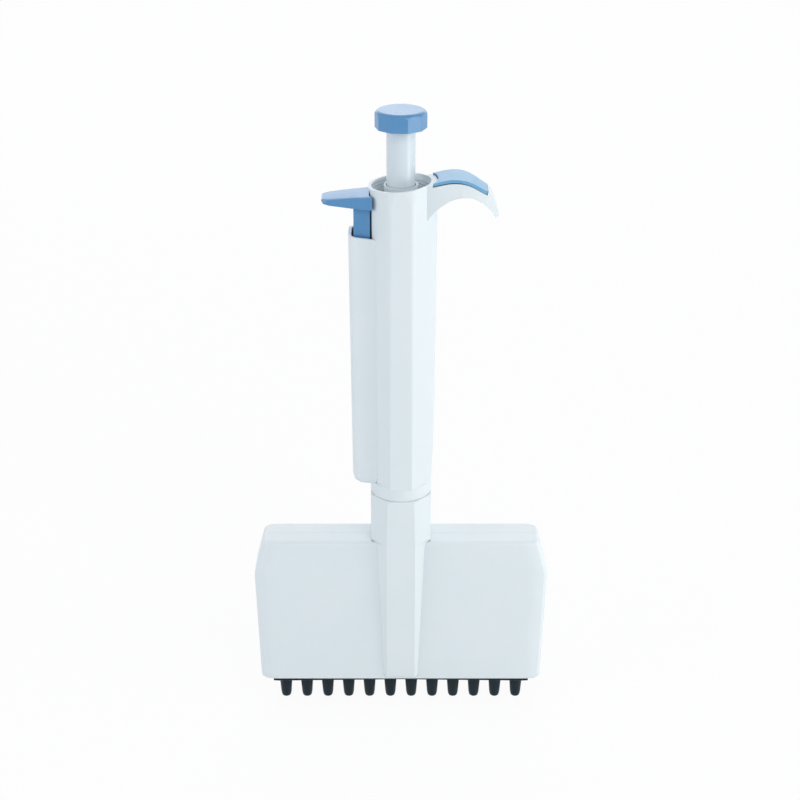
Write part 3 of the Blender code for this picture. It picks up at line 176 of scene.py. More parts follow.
# %% [markdown]
# ## Floor, backdrop and light
#
# The photograph is a catalogue picture on white. More lamps would make the paper white too, but
# they would also bleach the pipette. Here the floor takes the pipette's shadow, while rays that
# come from the camera, pass through clear plastic or bounce off gloss see mostly white.

# %% Lay the floor
FLOOR_SIZE = 8.0
FLOOR_DROP = 0.0001
PAPER_COLOUR = (0.82, 0.83, 0.84, 1.0)
SHARE_SEEN_WHITE = 0.93

let_go()
bpy.ops.mesh.primitive_plane_add(size=FLOOR_SIZE, location=(0.0, 0.0, frame_size[0][2] - FLOOR_DROP))
floor = name_new("floor")
paper = bpy.data.materials.new("white paper")
paper.use_nodes = True
tree = paper.node_tree
shader = tree.nodes["Principled BSDF"]
shader.inputs["Base Color"].default_value = PAPER_COLOUR
shader.inputs["Roughness"].default_value = 0.9
shader.inputs["Specular IOR Level"].default_value = 0.0
glow = tree.nodes.new("ShaderNodeEmission")
glow.inputs["Strength"].default_value = 1.0
share = add_math(tree, "MULTIPLY", looking_rays(tree), SHARE_SEEN_WHITE)
blend_shaders(tree, share, shader.outputs["BSDF"], glow.outputs["Emission"], "Material Output")
floor.data.materials.append(paper)
print("floor", FLOOR_SIZE, "m wide")

# %% [markdown]
# The room itself is an even pale light from all round. It fills the shadows as the white walls of a
# studio do. What looks at it sees plain white, as it does on the floor, so there is hardly a
# horizon.

# %% Light the room evenly
ROOM_COLOUR = (0.97, 0.985, 1.0, 1.0)
ROOM_STRENGTH = 0.62

world = bpy.data.worlds.new("white room")
world.use_nodes = True
bpy.context.scene.world = world
tree = world.node_tree
room = tree.nodes["Background"]
room.inputs["Color"].default_value = ROOM_COLOUR
room.inputs["Strength"].default_value = ROOM_STRENGTH
backdrop = tree.nodes.new("ShaderNodeBackground")
backdrop.inputs["Color"].default_value = (1.0, 1.0, 1.0, 1.0)
backdrop.inputs["Strength"].default_value = 1.0
lit = room.outputs["Background"]
white = backdrop.outputs["Background"]
blend_shaders(tree, looking_rays(tree), lit, white, "World Output")
print("room", ROOM_STRENGTH)

# %% [markdown]
# Five softboxes shape it. One stands in front, high on the right, and models the faces. A weaker
# one at the left fills the facets that turn that way. One at the right puts the sheen on the
# facets it faces. A small one lies low at the right: seen from above, upright gloss mirrors what
# lies low, so this one gives the knob's right side and the tube their bright streaks. A wide one
# behind is mirrored by the level tops, which is why the tops of the blue pieces look so pale in
# the photograph. Area lamps are used because point lamps would leave small hard highlights.


# %% Set up the softboxes
def softbox(name, place, aim, width, height, brightness, colour=(1.0, 1.0, 1.0)):
    """A rectangular lamp at a place, facing aim; brightness is what a mirror would show of it."""
    lamp = bpy.data.lights.new(name, "AREA")
    lamp.shape = "RECTANGLE"
    lamp.size = width
    lamp.size_y = height
    lamp.energy = brightness * math.pi * width * height
    lamp.color = colour
    stand = bpy.data.objects.new(name, lamp)
    stand.location = place
    stand.rotation_euler = (Vector(aim) - Vector(place)).to_track_quat("-Z", "Y").to_euler()
    stand.visible_camera = False
    bpy.context.scene.collection.objects.link(stand)
    print(name, round(lamp.energy, 2), "W")


MIDDLE = (0.0, 0.0, 0.14)
UPPER_END = (0.0, 0.0, 0.20)
KNOB_HEIGHT = (0.0, 0.0, 0.25)
softbox("key light", (0.80, -1.24, 1.36), MIDDLE, 0.80, 0.80, 3.4)
softbox("fill light", (-0.95, -0.45, 0.40), MIDDLE, 0.60, 0.60, 2.3)
softbox("side light", (0.93, -0.22, 0.26), MIDDLE, 0.60, 0.60, 2.5, (1.0, 0.975, 0.93))
softbox("low light", (0.50, -0.24, 0.03), KNOB_HEIGHT, 0.20, 0.20, 3.9, (1.0, 0.97, 0.88))
softbox("back light", (0.0, 1.45, 0.85), UPPER_END, 1.5, 1.0, 1.5)

# %% [markdown]
# ## Shared effects
#
# Moulded plastic isn't quite even: its skin has a fine grain from the tool, its gloss drifts, its
# edges get rubbed and a little dust settles on top. The edges are also paler by a painted highlight,
# and seams and creases get painted shade. Each effect could be built again in every material, but
# then they would drift apart. So each is a node group, built once, and every material places it
# with its own values.


# %% Start a node group
def new_effect(name, inputs, outputs):
    """A node group; gives back its tree, the sockets that it is given and those of its result."""
    tree = bpy.data.node_groups.new(name, "ShaderNodeTree")
    for label, value in inputs.items():
        socket = tree.interface.new_socket(name=label, in_out="INPUT", socket_type="NodeSocketFloat")
        socket.default_value = value
    for label in outputs:
        tree.interface.new_socket(name=label, in_out="OUTPUT", socket_type="NodeSocketFloat")
    given = tree.nodes.new("NodeGroupInput").outputs
    result = tree.nodes.new("NodeGroupOutput").inputs
    return tree, given, result


def add_place(tree):
    """Where a point lies on the object, so that a pattern stays put when the piece moves."""
    return tree.nodes.new("ShaderNodeTexCoord").outputs["Object"]


def upright_part(tree, vector):
    """How far a vector reaches along the upright axis."""
    parts = tree.nodes.new("ShaderNodeSeparateXYZ")
    tree.links.new(vector, parts.inputs["Vector"])
    return parts.outputs["Z"]


def add_noise(tree, place, scale, detail, roughness):
    """Soft noise between 0 and 1, at a scale that is a number or a socket."""
    noise = tree.nodes.new("ShaderNodeTexNoise")
    tree.links.new(place, noise.inputs["Vector"])
    feed(tree, noise.inputs["Scale"], scale)
    noise.inputs["Detail"].default_value = detail
    noise.inputs["Roughness"].default_value = roughness
    return noise.outputs["Fac"]


def add_range(tree, value, low, high, new_low=0.0, new_high=1.0):
    """Stretch the part of a value between low and high to the whole way between two new ends."""
    span = tree.nodes.new("ShaderNodeMapRange")
    tree.links.new(value, span.inputs["Value"])
    span.inputs["From Min"].default_value = low
    span.inputs["From Max"].default_value = high
    feed(tree, span.inputs["To Min"], new_low)
    feed(tree, span.inputs["To Max"], new_high)
    return span.outputs["Result"]


# %% Moulded skin: grain, uneven gloss and slow drift of tone
moulded_skin, given, result = new_effect(
    "moulded skin",
    {"Grain Scale": 2200.0, "Drift Scale": 40.0, "Smoothest": 0.34, "Roughest": 0.46},
    ["Roughness", "Height", "Drift"],
)
place = add_place(moulded_skin)
grain = add_noise(moulded_skin, place, given["Grain Scale"], detail=2.0, roughness=0.55)
drift = add_noise(moulded_skin, place, given["Drift Scale"], detail=4.0, roughness=0.6)
drift = add_range(moulded_skin, drift, low=0.35, high=0.65)
half_grain = add_math(moulded_skin, "MULTIPLY", grain, 0.5)
half_drift = add_math(moulded_skin, "MULTIPLY", drift, 0.5)
mixed = add_math(moulded_skin, "ADD", half_grain, half_drift)
gloss = add_range(moulded_skin, mixed, 0.0, 1.0, given["Smoothest"], given["Roughest"])
moulded_skin.links.new(gloss, result["Roughness"])
moulded_skin.links.new(grain, result["Height"])
moulded_skin.links.new(drift, result["Drift"])

# %% Worn edges with a painted highlight: paler where the surface bends sharply within a short reach
worn_highlit_edges, given, result = new_effect("worn highlit edges", {"Reach": 0.0003, "Strength": 1.0}, ["Mask"])
surface = worn_highlit_edges.nodes.new("ShaderNodeNewGeometry")
rounded = worn_highlit_edges.nodes.new("ShaderNodeBevel")
rounded.samples = 4
alike = worn_highlit_edges.nodes.new("ShaderNodeVectorMath")
alike.operation = "DOT_PRODUCT"
worn_highlit_edges.links.new(given["Reach"], rounded.inputs["Radius"])
worn_highlit_edges.links.new(rounded.outputs["Normal"], alike.inputs[0])
worn_highlit_edges.links.new(surface.outputs["Normal"], alike.inputs[1])
bend = add_range(worn_highlit_edges, alike.outputs["Value"], low=0.99, high=0.75)
breaks = add_noise(worn_highlit_edges, add_place(worn_highlit_edges), 260.0, detail=3.0, roughness=0.6)
broken = add_math(worn_highlit_edges, "MULTIPLY", bend, breaks)
mask = add_math(worn_highlit_edges, "MULTIPLY", broken, given["Strength"])
worn_highlit_edges.links.new(mask, result["Mask"])

# %% Settled dust: thin and patchy, on what faces up
settled_dust, given, result = new_effect("settled dust", {"Amount": 0.1}, ["Mask"])
surface = settled_dust.nodes.new("ShaderNodeNewGeometry")
upward = upright_part(settled_dust, surface.outputs["Normal"])
upward = add_range(settled_dust, upward, low=0.55, high=1.0)
patches = add_noise(settled_dust, add_place(settled_dust), 190.0, detail=5.0, roughness=0.7)
patches = add_range(settled_dust, patches, low=0.42, high=0.72)
lying = add_math(settled_dust, "MULTIPLY", upward, patches)
mask = add_math(settled_dust, "MULTIPLY", lying, given["Amount"])
settled_dust.links.new(mask, result["Mask"])

# %% Painted crevice shade: a darker colour where little open space lies within reach
painted_crevice_shade, given, result = new_effect("painted crevice shade", {"Reach": 0.0025, "Strength": 0.8}, ["Mask"])
openness = painted_crevice_shade.nodes.new("ShaderNodeAmbientOcclusion")
openness.samples = 6
painted_crevice_shade.links.new(given["Reach"], openness.inputs["Distance"])
closed = add_range(painted_crevice_shade, openness.outputs["AO"], low=0.45, high=0.08)
mask = add_math(painted_crevice_shade, "MULTIPLY", closed, given["Strength"])
painted_crevice_shade.links.new(mask, result["Mask"])

# %% Lathe lines: fine rings round the axis, as a turning tool leaves them
lathe_lines, given, result = new_effect(
    "lathe lines",
    {"Lines per metre": 9000.0, "Smoothest": 0.2, "Roughest": 0.38},
    ["Roughness", "Height"],
)
along = lathe_lines.nodes.new("ShaderNodeCombineXYZ")
lathe_lines.links.new(upright_part(lathe_lines, add_place(lathe_lines)), along.inputs["Z"])
lines = add_noise(
    lathe_lines, along.outputs["Vector"], given["Lines per metre"], detail=3.0, roughness=0.65
)
gloss = add_range(lathe_lines, lines, 0.0, 1.0, given["Smoothest"], given["Roughest"])
lathe_lines.links.new(gloss, result["Roughness"])
lathe_lines.links.new(lines, result["Height"])
print("effects", [group.name for group in bpy.data.node_groups])

# %% [markdown]
# ## Finishes
#
# Each finish is a Principled shader whose plain numbers stand on its own sockets. Only what
# changes over the surface comes in through nodes: tone, gloss, wear with a painted edge highlight,
# painted shade in crevices, dust and bump. Painted textures could do this too, but they need
# unwrapped pieces and blur from close by, while these patterns are worked out at every point.

# %% Place an effect, mix two tones, add a bump
# A Mix node has sockets for every kind of data. These are the places of the ones for colour.
MIX_SHARE = 0
MIX_BELOW = 6
MIX_ABOVE = 7
MIX_COLOUR = 2


def place_effect(tree, group, **values):
    """Put a shared effect into a material, its inputs given by name with _ for a space."""
    made = tree.nodes.new("ShaderNodeGroup")
    made.node_tree = group
    for label, value in values.items():
        made.inputs[label.replace("_", " ")].default_value = value
    return made


def add_tone(tree, below, above, mask):
    """Mix two colours, or a socket's colour and one more, by a mask."""
    tone = tree.nodes.new("ShaderNodeMix")
    tone.data_type = "RGBA"
    for index, colour in ((MIX_BELOW, below), (MIX_ABOVE, above)):
        if isinstance(colour, tuple):
            tone.inputs[index].default_value = (*colour, 1.0)
        else:
            tree.links.new(colour, tone.inputs[index])
    tree.links.new(mask, tone.inputs[MIX_SHARE])
    return tone.outputs[MIX_COLOUR]


def add_bump(tree, height, strength, depth):
    """A bump of a height, for a shader's normal."""
    bump = tree.nodes.new("ShaderNodeBump")
    bump.inputs["Strength"].default_value = strength
    bump.inputs["Distance"].default_value = depth
    tree.links.new(height, bump.inputs["Height"])
    return bump.outputs["Normal"]


# %% Build a plastic
DUST_COLOUR = (0.62, 0.62, 0.60)
SHADE_IN_GAPS = 0.12
GRAIN_DEPTH = 0.00004


def plastic(name, colour, drifted, edge_wear_highlight, gloss, grain, dust, gloss_level=0.5, bump=0.12, crevice_shade=0.8):
    """Moulded plastic: two close tones, paler worn edges with a painted highlight, painted shade in
    crevices, uneven gloss, grain, dust.
    """
    made = bpy.data.materials.new(name)
    made.use_nodes = True
    made.diffuse_color = (*colour, 1.0)
    tree = made.node_tree
    shader = tree.nodes["Principled BSDF"]
    shader.inputs["Specular IOR Level"].default_value = gloss_level
    skin = place_effect(tree, moulded_skin, Grain_Scale=grain, Smoothest=gloss[0], Roughest=gloss[1])
    edges = place_effect(tree, worn_highlit_edges)
    lying = place_effect(tree, settled_dust, Amount=dust)
    # Painted shade: the base colour darkens where ambient occlusion finds little open space, in seams
    # and creases.
    shaded_crevices = place_effect(tree, painted_crevice_shade, Strength=crevice_shade)
    crevice_shade_colour = tuple(value * SHADE_IN_GAPS for value in colour)
    tone = add_tone(tree, colour, drifted, skin.outputs["Drift"])
    # Worn edges with a painted highlight: a paler tone where the surface bends sharply.
    tone = add_tone(tree, tone, edge_wear_highlight, edges.outputs["Mask"])
    tone = add_tone(tree, tone, DUST_COLOUR, lying.outputs["Mask"])
    tone = add_tone(tree, tone, crevice_shade_colour, shaded_crevices.outputs["Mask"])
    tree.links.new(tone, shader.inputs["Base Color"])
    tree.links.new(skin.outputs["Roughness"], shader.inputs["Roughness"])
    normal = add_bump(tree, skin.outputs["Height"], strength=bump, depth=GRAIN_DEPTH)
    tree.links.new(normal, shader.inputs["Normal"])
    return made


# %% [markdown]
# The outside has five plastics. The housings are a cool white with a satin skin, the tube is
# smoother, the blue of the knob and the button is deep and glossy, the inlay's blue is paler and
# softer, and the cones and the plate are nearly black. Two quieter ones serve inside. One material
# with a changed colour would be quicker, but then all would catch the light alike.

# %% Mix the plastics
FINISH = {
    "white_housing": plastic(
        "white housing", (0.725, 0.795, 0.835), drifted=(0.71, 0.785, 0.828), edge_wear_highlight=(0.80, 0.86, 0.89),
        gloss=(0.38, 0.52), grain=2400.0, dust=0.04, gloss_level=0.45, crevice_shade=0.5,
    ),
    "white_tube": plastic(
        "white tube", (0.66, 0.74, 0.80), drifted=(0.64, 0.725, 0.79), edge_wear_highlight=(0.74, 0.81, 0.86),
        gloss=(0.20, 0.31), grain=3000.0, dust=0.03,
    ),
    "white_inner": plastic(
        "white inner", (0.70, 0.76, 0.80), drifted=(0.68, 0.745, 0.79), edge_wear_highlight=(0.76, 0.82, 0.86),
        gloss=(0.45, 0.6), grain=2000.0, dust=0.12, gloss_level=0.3,
    ),
    "blue_plastic": plastic(
        "blue button", (0.088, 0.268, 0.52), drifted=(0.079, 0.255, 0.50), edge_wear_highlight=(0.15, 0.34, 0.59),
        gloss=(0.24, 0.36), grain=3200.0, dust=0.02, bump=0.06,
    ),
    "blue_inlay": plastic(
        "blue inlay", (0.145, 0.375, 0.61), drifted=(0.135, 0.36, 0.59), edge_wear_highlight=(0.20, 0.43, 0.66),
        gloss=(0.30, 0.44), grain=2600.0, dust=0.05,
    ),
    "black_plastic": plastic(
        "black cone", (0.003, 0.014, 0.023), drifted=(0.004, 0.017, 0.026), edge_wear_highlight=(0.024, 0.040, 0.051),
        gloss=(0.34, 0.50), grain=2600.0, dust=0.03, gloss_level=0.22,
    ),
    "grey_plastic": plastic(
        "grey inner", (0.33, 0.37, 0.39), drifted=(0.31, 0.35, 0.37), edge_wear_highlight=(0.40, 0.44, 0.46),
        gloss=(0.42, 0.56), grain=2200.0, dust=0.08, gloss_level=0.3,
    ),
}
print("plastics", list(FINISH))

# %% [markdown]
# The rods, the springs, the pistons and the screw inside are metal. A shader that is metallic all
# over needs no separate gloss colour, so its base colour is the metal's own, and the rings of a
# lathe are drawn as a change of gloss along the upright axis.

# %% Turn the metals
LINE_DEPTH = 0.00002


def metal(name, colour, tint, gloss, lines):
    """Turned metal: rings of finer and coarser gloss, and a tint that drifts."""
    made = bpy.data.materials.new(name)
    made.use_nodes = True
    made.diffuse_color = (*colour, 1.0)
    tree = made.node_tree
    shader = tree.nodes["Principled BSDF"]
    shader.inputs["Metallic"].default_value = 1.0
    rings = place_effect(tree, lathe_lines, Lines_per_metre=lines, Smoothest=gloss[0], Roughest=gloss[1])
    skin = place_effect(tree, moulded_skin, Drift_Scale=90.0)
    tone = add_tone(tree, colour, tint, skin.outputs["Drift"])
    tree.links.new(tone, shader.inputs["Base Color"])
    tree.links.new(rings.outputs["Roughness"], shader.inputs["Roughness"])
    normal = add_bump(tree, rings.outputs["Height"], strength=0.15, depth=LINE_DEPTH)
    tree.links.new(normal, shader.inputs["Normal"])
    return made


FINISH["steel"] = metal(
    "bright steel", (0.60, 0.61, 0.62), tint=(0.55, 0.56, 0.57), gloss=(0.16, 0.32), lines=9000.0
)
FINISH["brass"] = metal(
    "turned brass", (0.74, 0.55, 0.25), tint=(0.66, 0.47, 0.20), gloss=(0.2, 0.4), lines=6000.0
)
print("metals", [FINISH[slot].name for slot in ("steel", "brass")])

# %% [markdown]
# The counter is read through a clear pane. A thin shell with see-through paint would show no edge,
# so the pane is a solid that light passes through and bends in, with a very light grain.

# %% Cast the clear window
pane = bpy.data.materials.new("clear window")
pane.use_nodes = True
tree = pane.node_tree
shader = tree.nodes["Principled BSDF"]
shader.inputs["Base Color"].default_value = (0.93, 0.96, 0.97, 1.0)
shader.inputs["Transmission Weight"].default_value = 1.0
shader.inputs["IOR"].default_value = 1.49
skin = place_effect(tree, moulded_skin, Grain_Scale=900.0, Smoothest=0.02, Roughest=0.07)
tree.links.new(skin.outputs["Roughness"], shader.inputs["Roughness"])
normal = add_bump(tree, skin.outputs["Height"], strength=0.03, depth=LINE_DEPTH)
tree.links.new(normal, shader.inputs["Normal"])
FINISH["clear_window"] = pane
print("clear", pane.name)

# %% [markdown]
# The record says which finish each node takes and on which body it moves. Both are read once, and
# every node gets its finish now, because those whose shape is right are shown as they are.

# %% Give every node of the frame its finish
slot_of = {part["node"]: part["material_slot"] for part in record["subparts"]}
body_of = {node: body for body, nodes in record["behaviour"]["bodies"].items() for node in nodes}
for node, obj in frame["nodes"].items():
    for holder in obj.material_slots:
        holder.material = FINISH[slot_of[node]]

# %% [markdown]
# ## Put a finished piece on its body
#
# A new piece stands for a node of the frame: it takes that node's finish, moves with its body and
# hides it. The node stays in the frame, where it still takes part in collisions.


# %% Hand a piece over
def stand_for(piece, node):
    """Give a piece the finish and the body of the node it stands for, and hide that node."""
    piece.data.materials.clear()
    piece.data.materials.append(FINISH[slot_of[node]])
    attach(piece, body_of[node])
    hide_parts(node)
    print(piece.name, len(piece.data.polygons), "faces, stands for", node)


# %% [markdown]
# Nearly every piece ends with the same two steps. A bevel rounds what is sharp, and the shading is
# then smoothed by angle, so that real edges stay, and weighted by the size of the faces, so that
# broad flat ones stay flat beside a narrow bevel. Smoothing alone would leave the outline sharp,
# and a subdivision surface would swell the flat faces.


# %% Shade a piece and round its edges
def smooth(piece, degrees=30.0):
    """Shade round what bends less than an angle, while broad flat faces stay flat."""
    take(piece)
    bpy.ops.object.shade_smooth_by_angle(angle=math.radians(degrees))
    even = piece.modifiers.new("flat faces", "WEIGHTED_NORMAL")
    even.keep_sharp = True
    bpy.ops.object.modifier_apply(modifier=even.name)


def soften(piece, width, segments=2, degrees=30.0):
    """Round every edge of a piece that bends more than an angle."""
    take(piece)
    rounding = piece.modifiers.new("soft edges", "BEVEL")
    rounding.width = width
    rounding.segments = segments
    rounding.limit_method = "ANGLE"
    rounding.angle_limit = math.radians(degrees)
    rounding.miter_outer = "MITER_ARC"
    bpy.ops.object.modifier_apply(modifier=rounding.name)


# %% [markdown]
# ## Housings
#
# The handle's shell, the head, the neck, the ejector's cover, the button and the inlay are
# mouldings, and the edges of a moulding are never sharp. Their forms are already in the frame and
# could be modelled anew, but a copy is sure to fit. So each is copied, its loose triangles are
# merged back into flat faces, and a bevel of one to three tenths of a millimetre rounds what is
# sharp.

# %% Copy a node, merge it and shift its corners
TRIANGLE_GAP = 0.000002
FLAT_WITHIN = math.radians(1.0)


def merged_copy(node, name):
    """A copy of a node's mesh, with its triangles welded and its flat faces made one again."""
    piece = bpy.data.objects.new(name, frame["nodes"][node].data.copy())
    bpy.context.scene.collection.objects.link(piece)
    take(piece)
    bpy.ops.mesh.customdata_custom_splitnormals_clear()
    bpy.ops.object.mode_set(mode="EDIT")
    bpy.ops.mesh.select_all(action="SELECT")
    bpy.ops.mesh.remove_doubles(threshold=TRIANGLE_GAP)
    bpy.ops.mesh.dissolve_limited(angle_limit=FLAT_WITHIN)
    bpy.ops.object.mode_set(mode="OBJECT")
    return piece


def shift(piece, step):
    """Move a whole piece within its object, which stays at the origin."""
    take(piece)
    bpy.ops.object.mode_set(mode="EDIT")
    bpy.ops.mesh.select_all(action="SELECT")
    bpy.ops.transform.translate(value=step)
    bpy.ops.object.mode_set(mode="OBJECT")


def shift_where(piece, test, step):
    """Move the corners of a piece that pass a test by one step, and count them."""
    take(piece)
    bpy.ops.object.mode_set(mode="EDIT")
    bpy.ops.mesh.select_mode(type="VERT")
    bpy.ops.mesh.select_all(action="DESELECT")
    bpy.ops.object.mode_set(mode="OBJECT")
    moved = 0
    for corner in piece.data.vertices:
        corner.select = test(corner.co)
        moved += corner.select
    bpy.ops.object.mode_set(mode="EDIT")
    bpy.ops.transform.translate(value=step)
    bpy.ops.object.mode_set(mode="OBJECT")
    return moved


# %% [markdown]
# The frame keeps a third of a millimetre between pieces that rest on each other. Real mouldings
# meet in a hairline, so the visible edges are drawn together. The neck's spines, front and rear,
# grow sideways in their beds in the head covers, the neck's foot comes down on these covers and its
# rim rises to the collar. The handle's foot comes down to the collar too, the side cover closes on
# the handle's facets, and the two head covers meet. Scaling a whole piece would also move the edges
# that already lie right, so corners are picked by their place and each group gets its own step.

# %% Find the levels and the lines that meet
HAIR = 0.0001
OFF_MIDDLE = 0.001
FLANK_FROM = 0.007
COVER_EDGE = (-0.0122, 0.0045)
COVER_EDGE_LOW = (-0.0128, 0.003)

bed_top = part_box("head_front_cover")[1].z + HAIR
handle_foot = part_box("handle_shell")[0].z
neck_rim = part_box("neck_spine")[1].z
cover_foot = handle_foot + 0.0005


def in_bed(side):
    """The spines' corners in their beds, on one side of the middle."""
    return lambda co: co.z < bed_top and co.x * side > OFF_MIDDLE


def on_flank(side):
    """The spines' corners just above their beds, on one side of the middle."""
    return lambda co: (
        bed_top < co.z < bed_top + 0.0007 and co.x * side > OFF_MIDDLE and abs(co.y) > FLANK_FROM
    )


def neck_foot(co):
    """The neck's foot between its two spines, where it stands on the head covers."""
    return bed_top < co.z < bed_top + 0.0003 and abs(co.y) < FLANK_FROM


def cover_edge(co):
    """The side cover's long edges, which lie along the handle's facets."""
    return co.z > cover_foot and co.x > COVER_EDGE[0] and abs(co.y) > COVER_EDGE[1]


def cover_edge_low(co):
    """The short stretch of the same edges below the handle's foot."""
    return co.z < cover_foot and co.x > COVER_EDGE_LOW[0] and abs(co.y) > COVER_EDGE_LOW[1]


def head_joint(co):
    """The line where the two head covers meet."""
    return abs(co.y) < 2 * HAIR


print("bed up to", round(bed_top * 1000, 2), "mm, neck up to", round(neck_rim * 1000, 2), "mm")

# %% Say how far each moves
SPINE_GROWTH = 0.0004
NECK_GROWTH = 0.00026
HANDLE_GROWTH = 0.00024
COVER_GROWTH = 0.0004
COVER_GROWTH_LOW = 0.0002
HEAD_GROWTH = 0.00012

SEAMS = {
    "neck_spine": [
        (in_bed(1), (SPINE_GROWTH, 0.0, 0.0)),
        (in_bed(-1), (-SPINE_GROWTH, 0.0, 0.0)),
        (on_flank(1), (SPINE_GROWTH, 0.0, 0.0)),
        (on_flank(-1), (-SPINE_GROWTH, 0.0, 0.0)),
        (neck_foot, (0.0, 0.0, -NECK_GROWTH)),
        (lambda co: co.z > neck_rim - HAIR, (0.0, 0.0, NECK_GROWTH)),
    ],
    "handle_shell": [(lambda co: co.z < handle_foot + HAIR, (0.0, 0.0, -HANDLE_GROWTH))],
    "ejector_side_cover": [
        (cover_edge, (COVER_GROWTH, 0.0, 0.0)),
        (cover_edge_low, (COVER_GROWTH_LOW, 0.0, 0.0)),
    ],
    "head_front_cover": [(head_joint, (0.0, HEAD_GROWTH, 0.0))],
    "head_rear_cover": [(head_joint, (0.0, -HEAD_GROWTH, 0.0))],
}
print("seams", list(SEAMS))

# %% Round the housings' edges
HOUSINGS = {
    "handle_shell": ("handle_housing", 0.00022),
    "ejector_side_cover": ("side_housing", 0.00015),
    "neck_spine": ("neck_housing", 0.0001),
    "head_front_cover": ("head_front", 0.0001),
    "head_rear_cover": ("head_rear", 0.0001),
    "ejector_button": ("thumb_button", 0.0003),
    "hook_inlay": ("hook_pad", 0.0002),
}
for node, (name, width) in HOUSINGS.items():
    piece = merged_copy(node, name)
    for test, step in SEAMS.get(node, []):
        print(name, shift_where(piece, test, step), "corners moved")
    soften(piece, width)
    smooth(piece)
    stand_for(piece, node)

# %% [markdown]
# ## Turned pieces
#
# What runs round the plunger was moulded or turned round, and the frame keeps it as many-sided
# prisms. A cylinder primitive has no steps, bores or flanges, and a Screw modifier would need an
# outline of its own. So each piece is spun in edit mode from its half outline, with enough steps to
# look truly round.

# %% Spin an outline
SAME_POINT = 0.000001
ROUND = 96


def turn_on_lathe(name, outline, steps=64):
    """Spin an outline of radius and height points once round the upright axis."""
    # A small plane is merged to one point, and the outline is drawn out from it step by step.
    let_go()
    bpy.ops.mesh.primitive_plane_add(size=0.001)
    piece = name_new(name)
    bpy.ops.object.mode_set(mode="EDIT")
    bpy.ops.mesh.select_all(action="SELECT")
    bpy.ops.mesh.merge(type="CENTER")
    bpy.ops.transform.translate(value=(outline[0][0], 0.0, outline[0][1]))
    for (radius, height), (next_radius, next_height) in zip(outline, outline[1:]):
        step = (next_radius - radius, 0.0, next_height - height)
        bpy.ops.mesh.extrude_region_move(TRANSFORM_OT_translate={"value": step})
    bpy.ops.mesh.select_all(action="SELECT")
    bpy.ops.mesh.spin(steps=steps, angle=2 * math.pi, center=(0.0, 0.0, 0.0), axis=(0.0, 0.0, 1.0))
    bpy.ops.mesh.select_all(action="SELECT")
    bpy.ops.mesh.remove_doubles(threshold=SAME_POINT)
    bpy.ops.mesh.normals_make_consistent(inside=False)
    bpy.ops.object.mode_set(mode="OBJECT")
    return piece


def combine(piece, tool, operation):
    """Cut a piece with a tool, or keep what both share, and throw the tool away."""
    take(piece)
    change = piece.modifiers.new(operation.lower(), "BOOLEAN")
    change.operation = operation
    change.object = tool
    bpy.ops.object.modifier_apply(modifier=change.name)
    bpy.data.objects.remove(tool)


def block(name, low, high):
    """A plain block between two corners, made from the unit cube in edit mode."""
    let_go()
    bpy.ops.mesh.primitive_cube_add(size=1.0)
    piece = name_new(name)
    bpy.ops.object.mode_set(mode="EDIT")
    bpy.ops.mesh.select_all(action="SELECT")
    bpy.ops.transform.resize(value=[top - bottom for bottom, top in zip(low, high)])
    bpy.ops.transform.translate(value=[(top + bottom) / 2 for bottom, top in zip(low, high)])
    bpy.ops.object.mode_set(mode="OBJECT")
    return piece


# %% [markdown]
# The well above the guide widens towards the rim, and two fine grooves run round its wall. A bump
# could only draw them, and they would vanish where the wall is seen edge on, so two thin rings are
# turned and cut out of the housing.

# %% Groove the well's wall
BOSS_HEIGHT = 0.0049
GROOVE_WIDTH = 0.00035
GROOVE_RING = 0.0006
GROOVES = [(0.0023, 0.01080), (0.0034, 0.01112)]

deck_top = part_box("top_guide")[1].z - BOSS_HEIGHT
housing = bpy.data.objects["handle_housing"]
for above_deck, radius in GROOVES:
    foot = deck_top + above_deck
    groove = turn_on_lathe("groove", [
        (radius - GROOVE_RING, foot), (radius, foot), (radius, foot + GROOVE_WIDTH),
        (radius - GROOVE_RING, foot + GROOVE_WIDTH), (radius - GROOVE_RING, foot),
    ], ROUND)
    combine(housing, groove, "DIFFERENCE")
smooth(housing)
print("housing", len(housing.data.polygons), "faces")

# %% [markdown]
# ## Tip cones
#
# Each cone is turned from one profile: a taper that a disposable tip grips, a rounded lead-in, a
# flange that the base holds, and a cylinder for the piston. One is modelled in full at the left end
# and copied along the row at the nine millimetre pitch of a standard plate. An Array modifier would
# make them one piece, but each cone stands for a node of its own.


# %% Turn the first cone
def cone_x(number):
    """Where a cone stands along the row."""
    low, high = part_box(f"tip_cone_{number:02d}")
    return (low.x + high.x) / 2


cone_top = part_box("tip_cone_01")[1].z
bore = 0.0009
taper_radius = 0.00282
flange_radius = 0.00355
flange_foot = 0.01775
flange_top = 0.01925
neck_radius = 0.0033
cylinder_bore = 0.0026
cylinder_floor = 0.02075
cone_outline = [
    (bore, 0.0), (0.00162, 0.0), (0.00176, 0.00005), (0.00188, 0.00022), (0.00197, 0.0005),
    (0.00205, 0.0009), (0.00221, 0.0018), (taper_radius, 0.0105), (taper_radius, flange_foot),
    (flange_radius, flange_foot), (flange_radius, flange_top), (neck_radius, flange_top),
    (neck_radius, cone_top), (cylinder_bore, cone_top), (cylinder_bore, cylinder_floor),
    (bore, flange_top), (bore, 0.0),
]
first_x = cone_x(1)
cone = turn_on_lathe("cone_01", cone_outline, steps=48)
soften(cone, width=0.00008, segments=1, degrees=35.0)
shift(cone, (first_x, 0.0, 0.0))
smooth(cone)
stand_for(cone, "tip_cone_01")

# %% Copy it along the row
for number in range(2, 13):
    take(cone)
    bpy.ops.object.duplicate()
    copy = name_new(f"cone_{number:02d}")
    shift(copy, (cone_x(number) - first_x, 0.0, 0.0))
    stand_for(copy, f"tip_cone_{number:02d}")

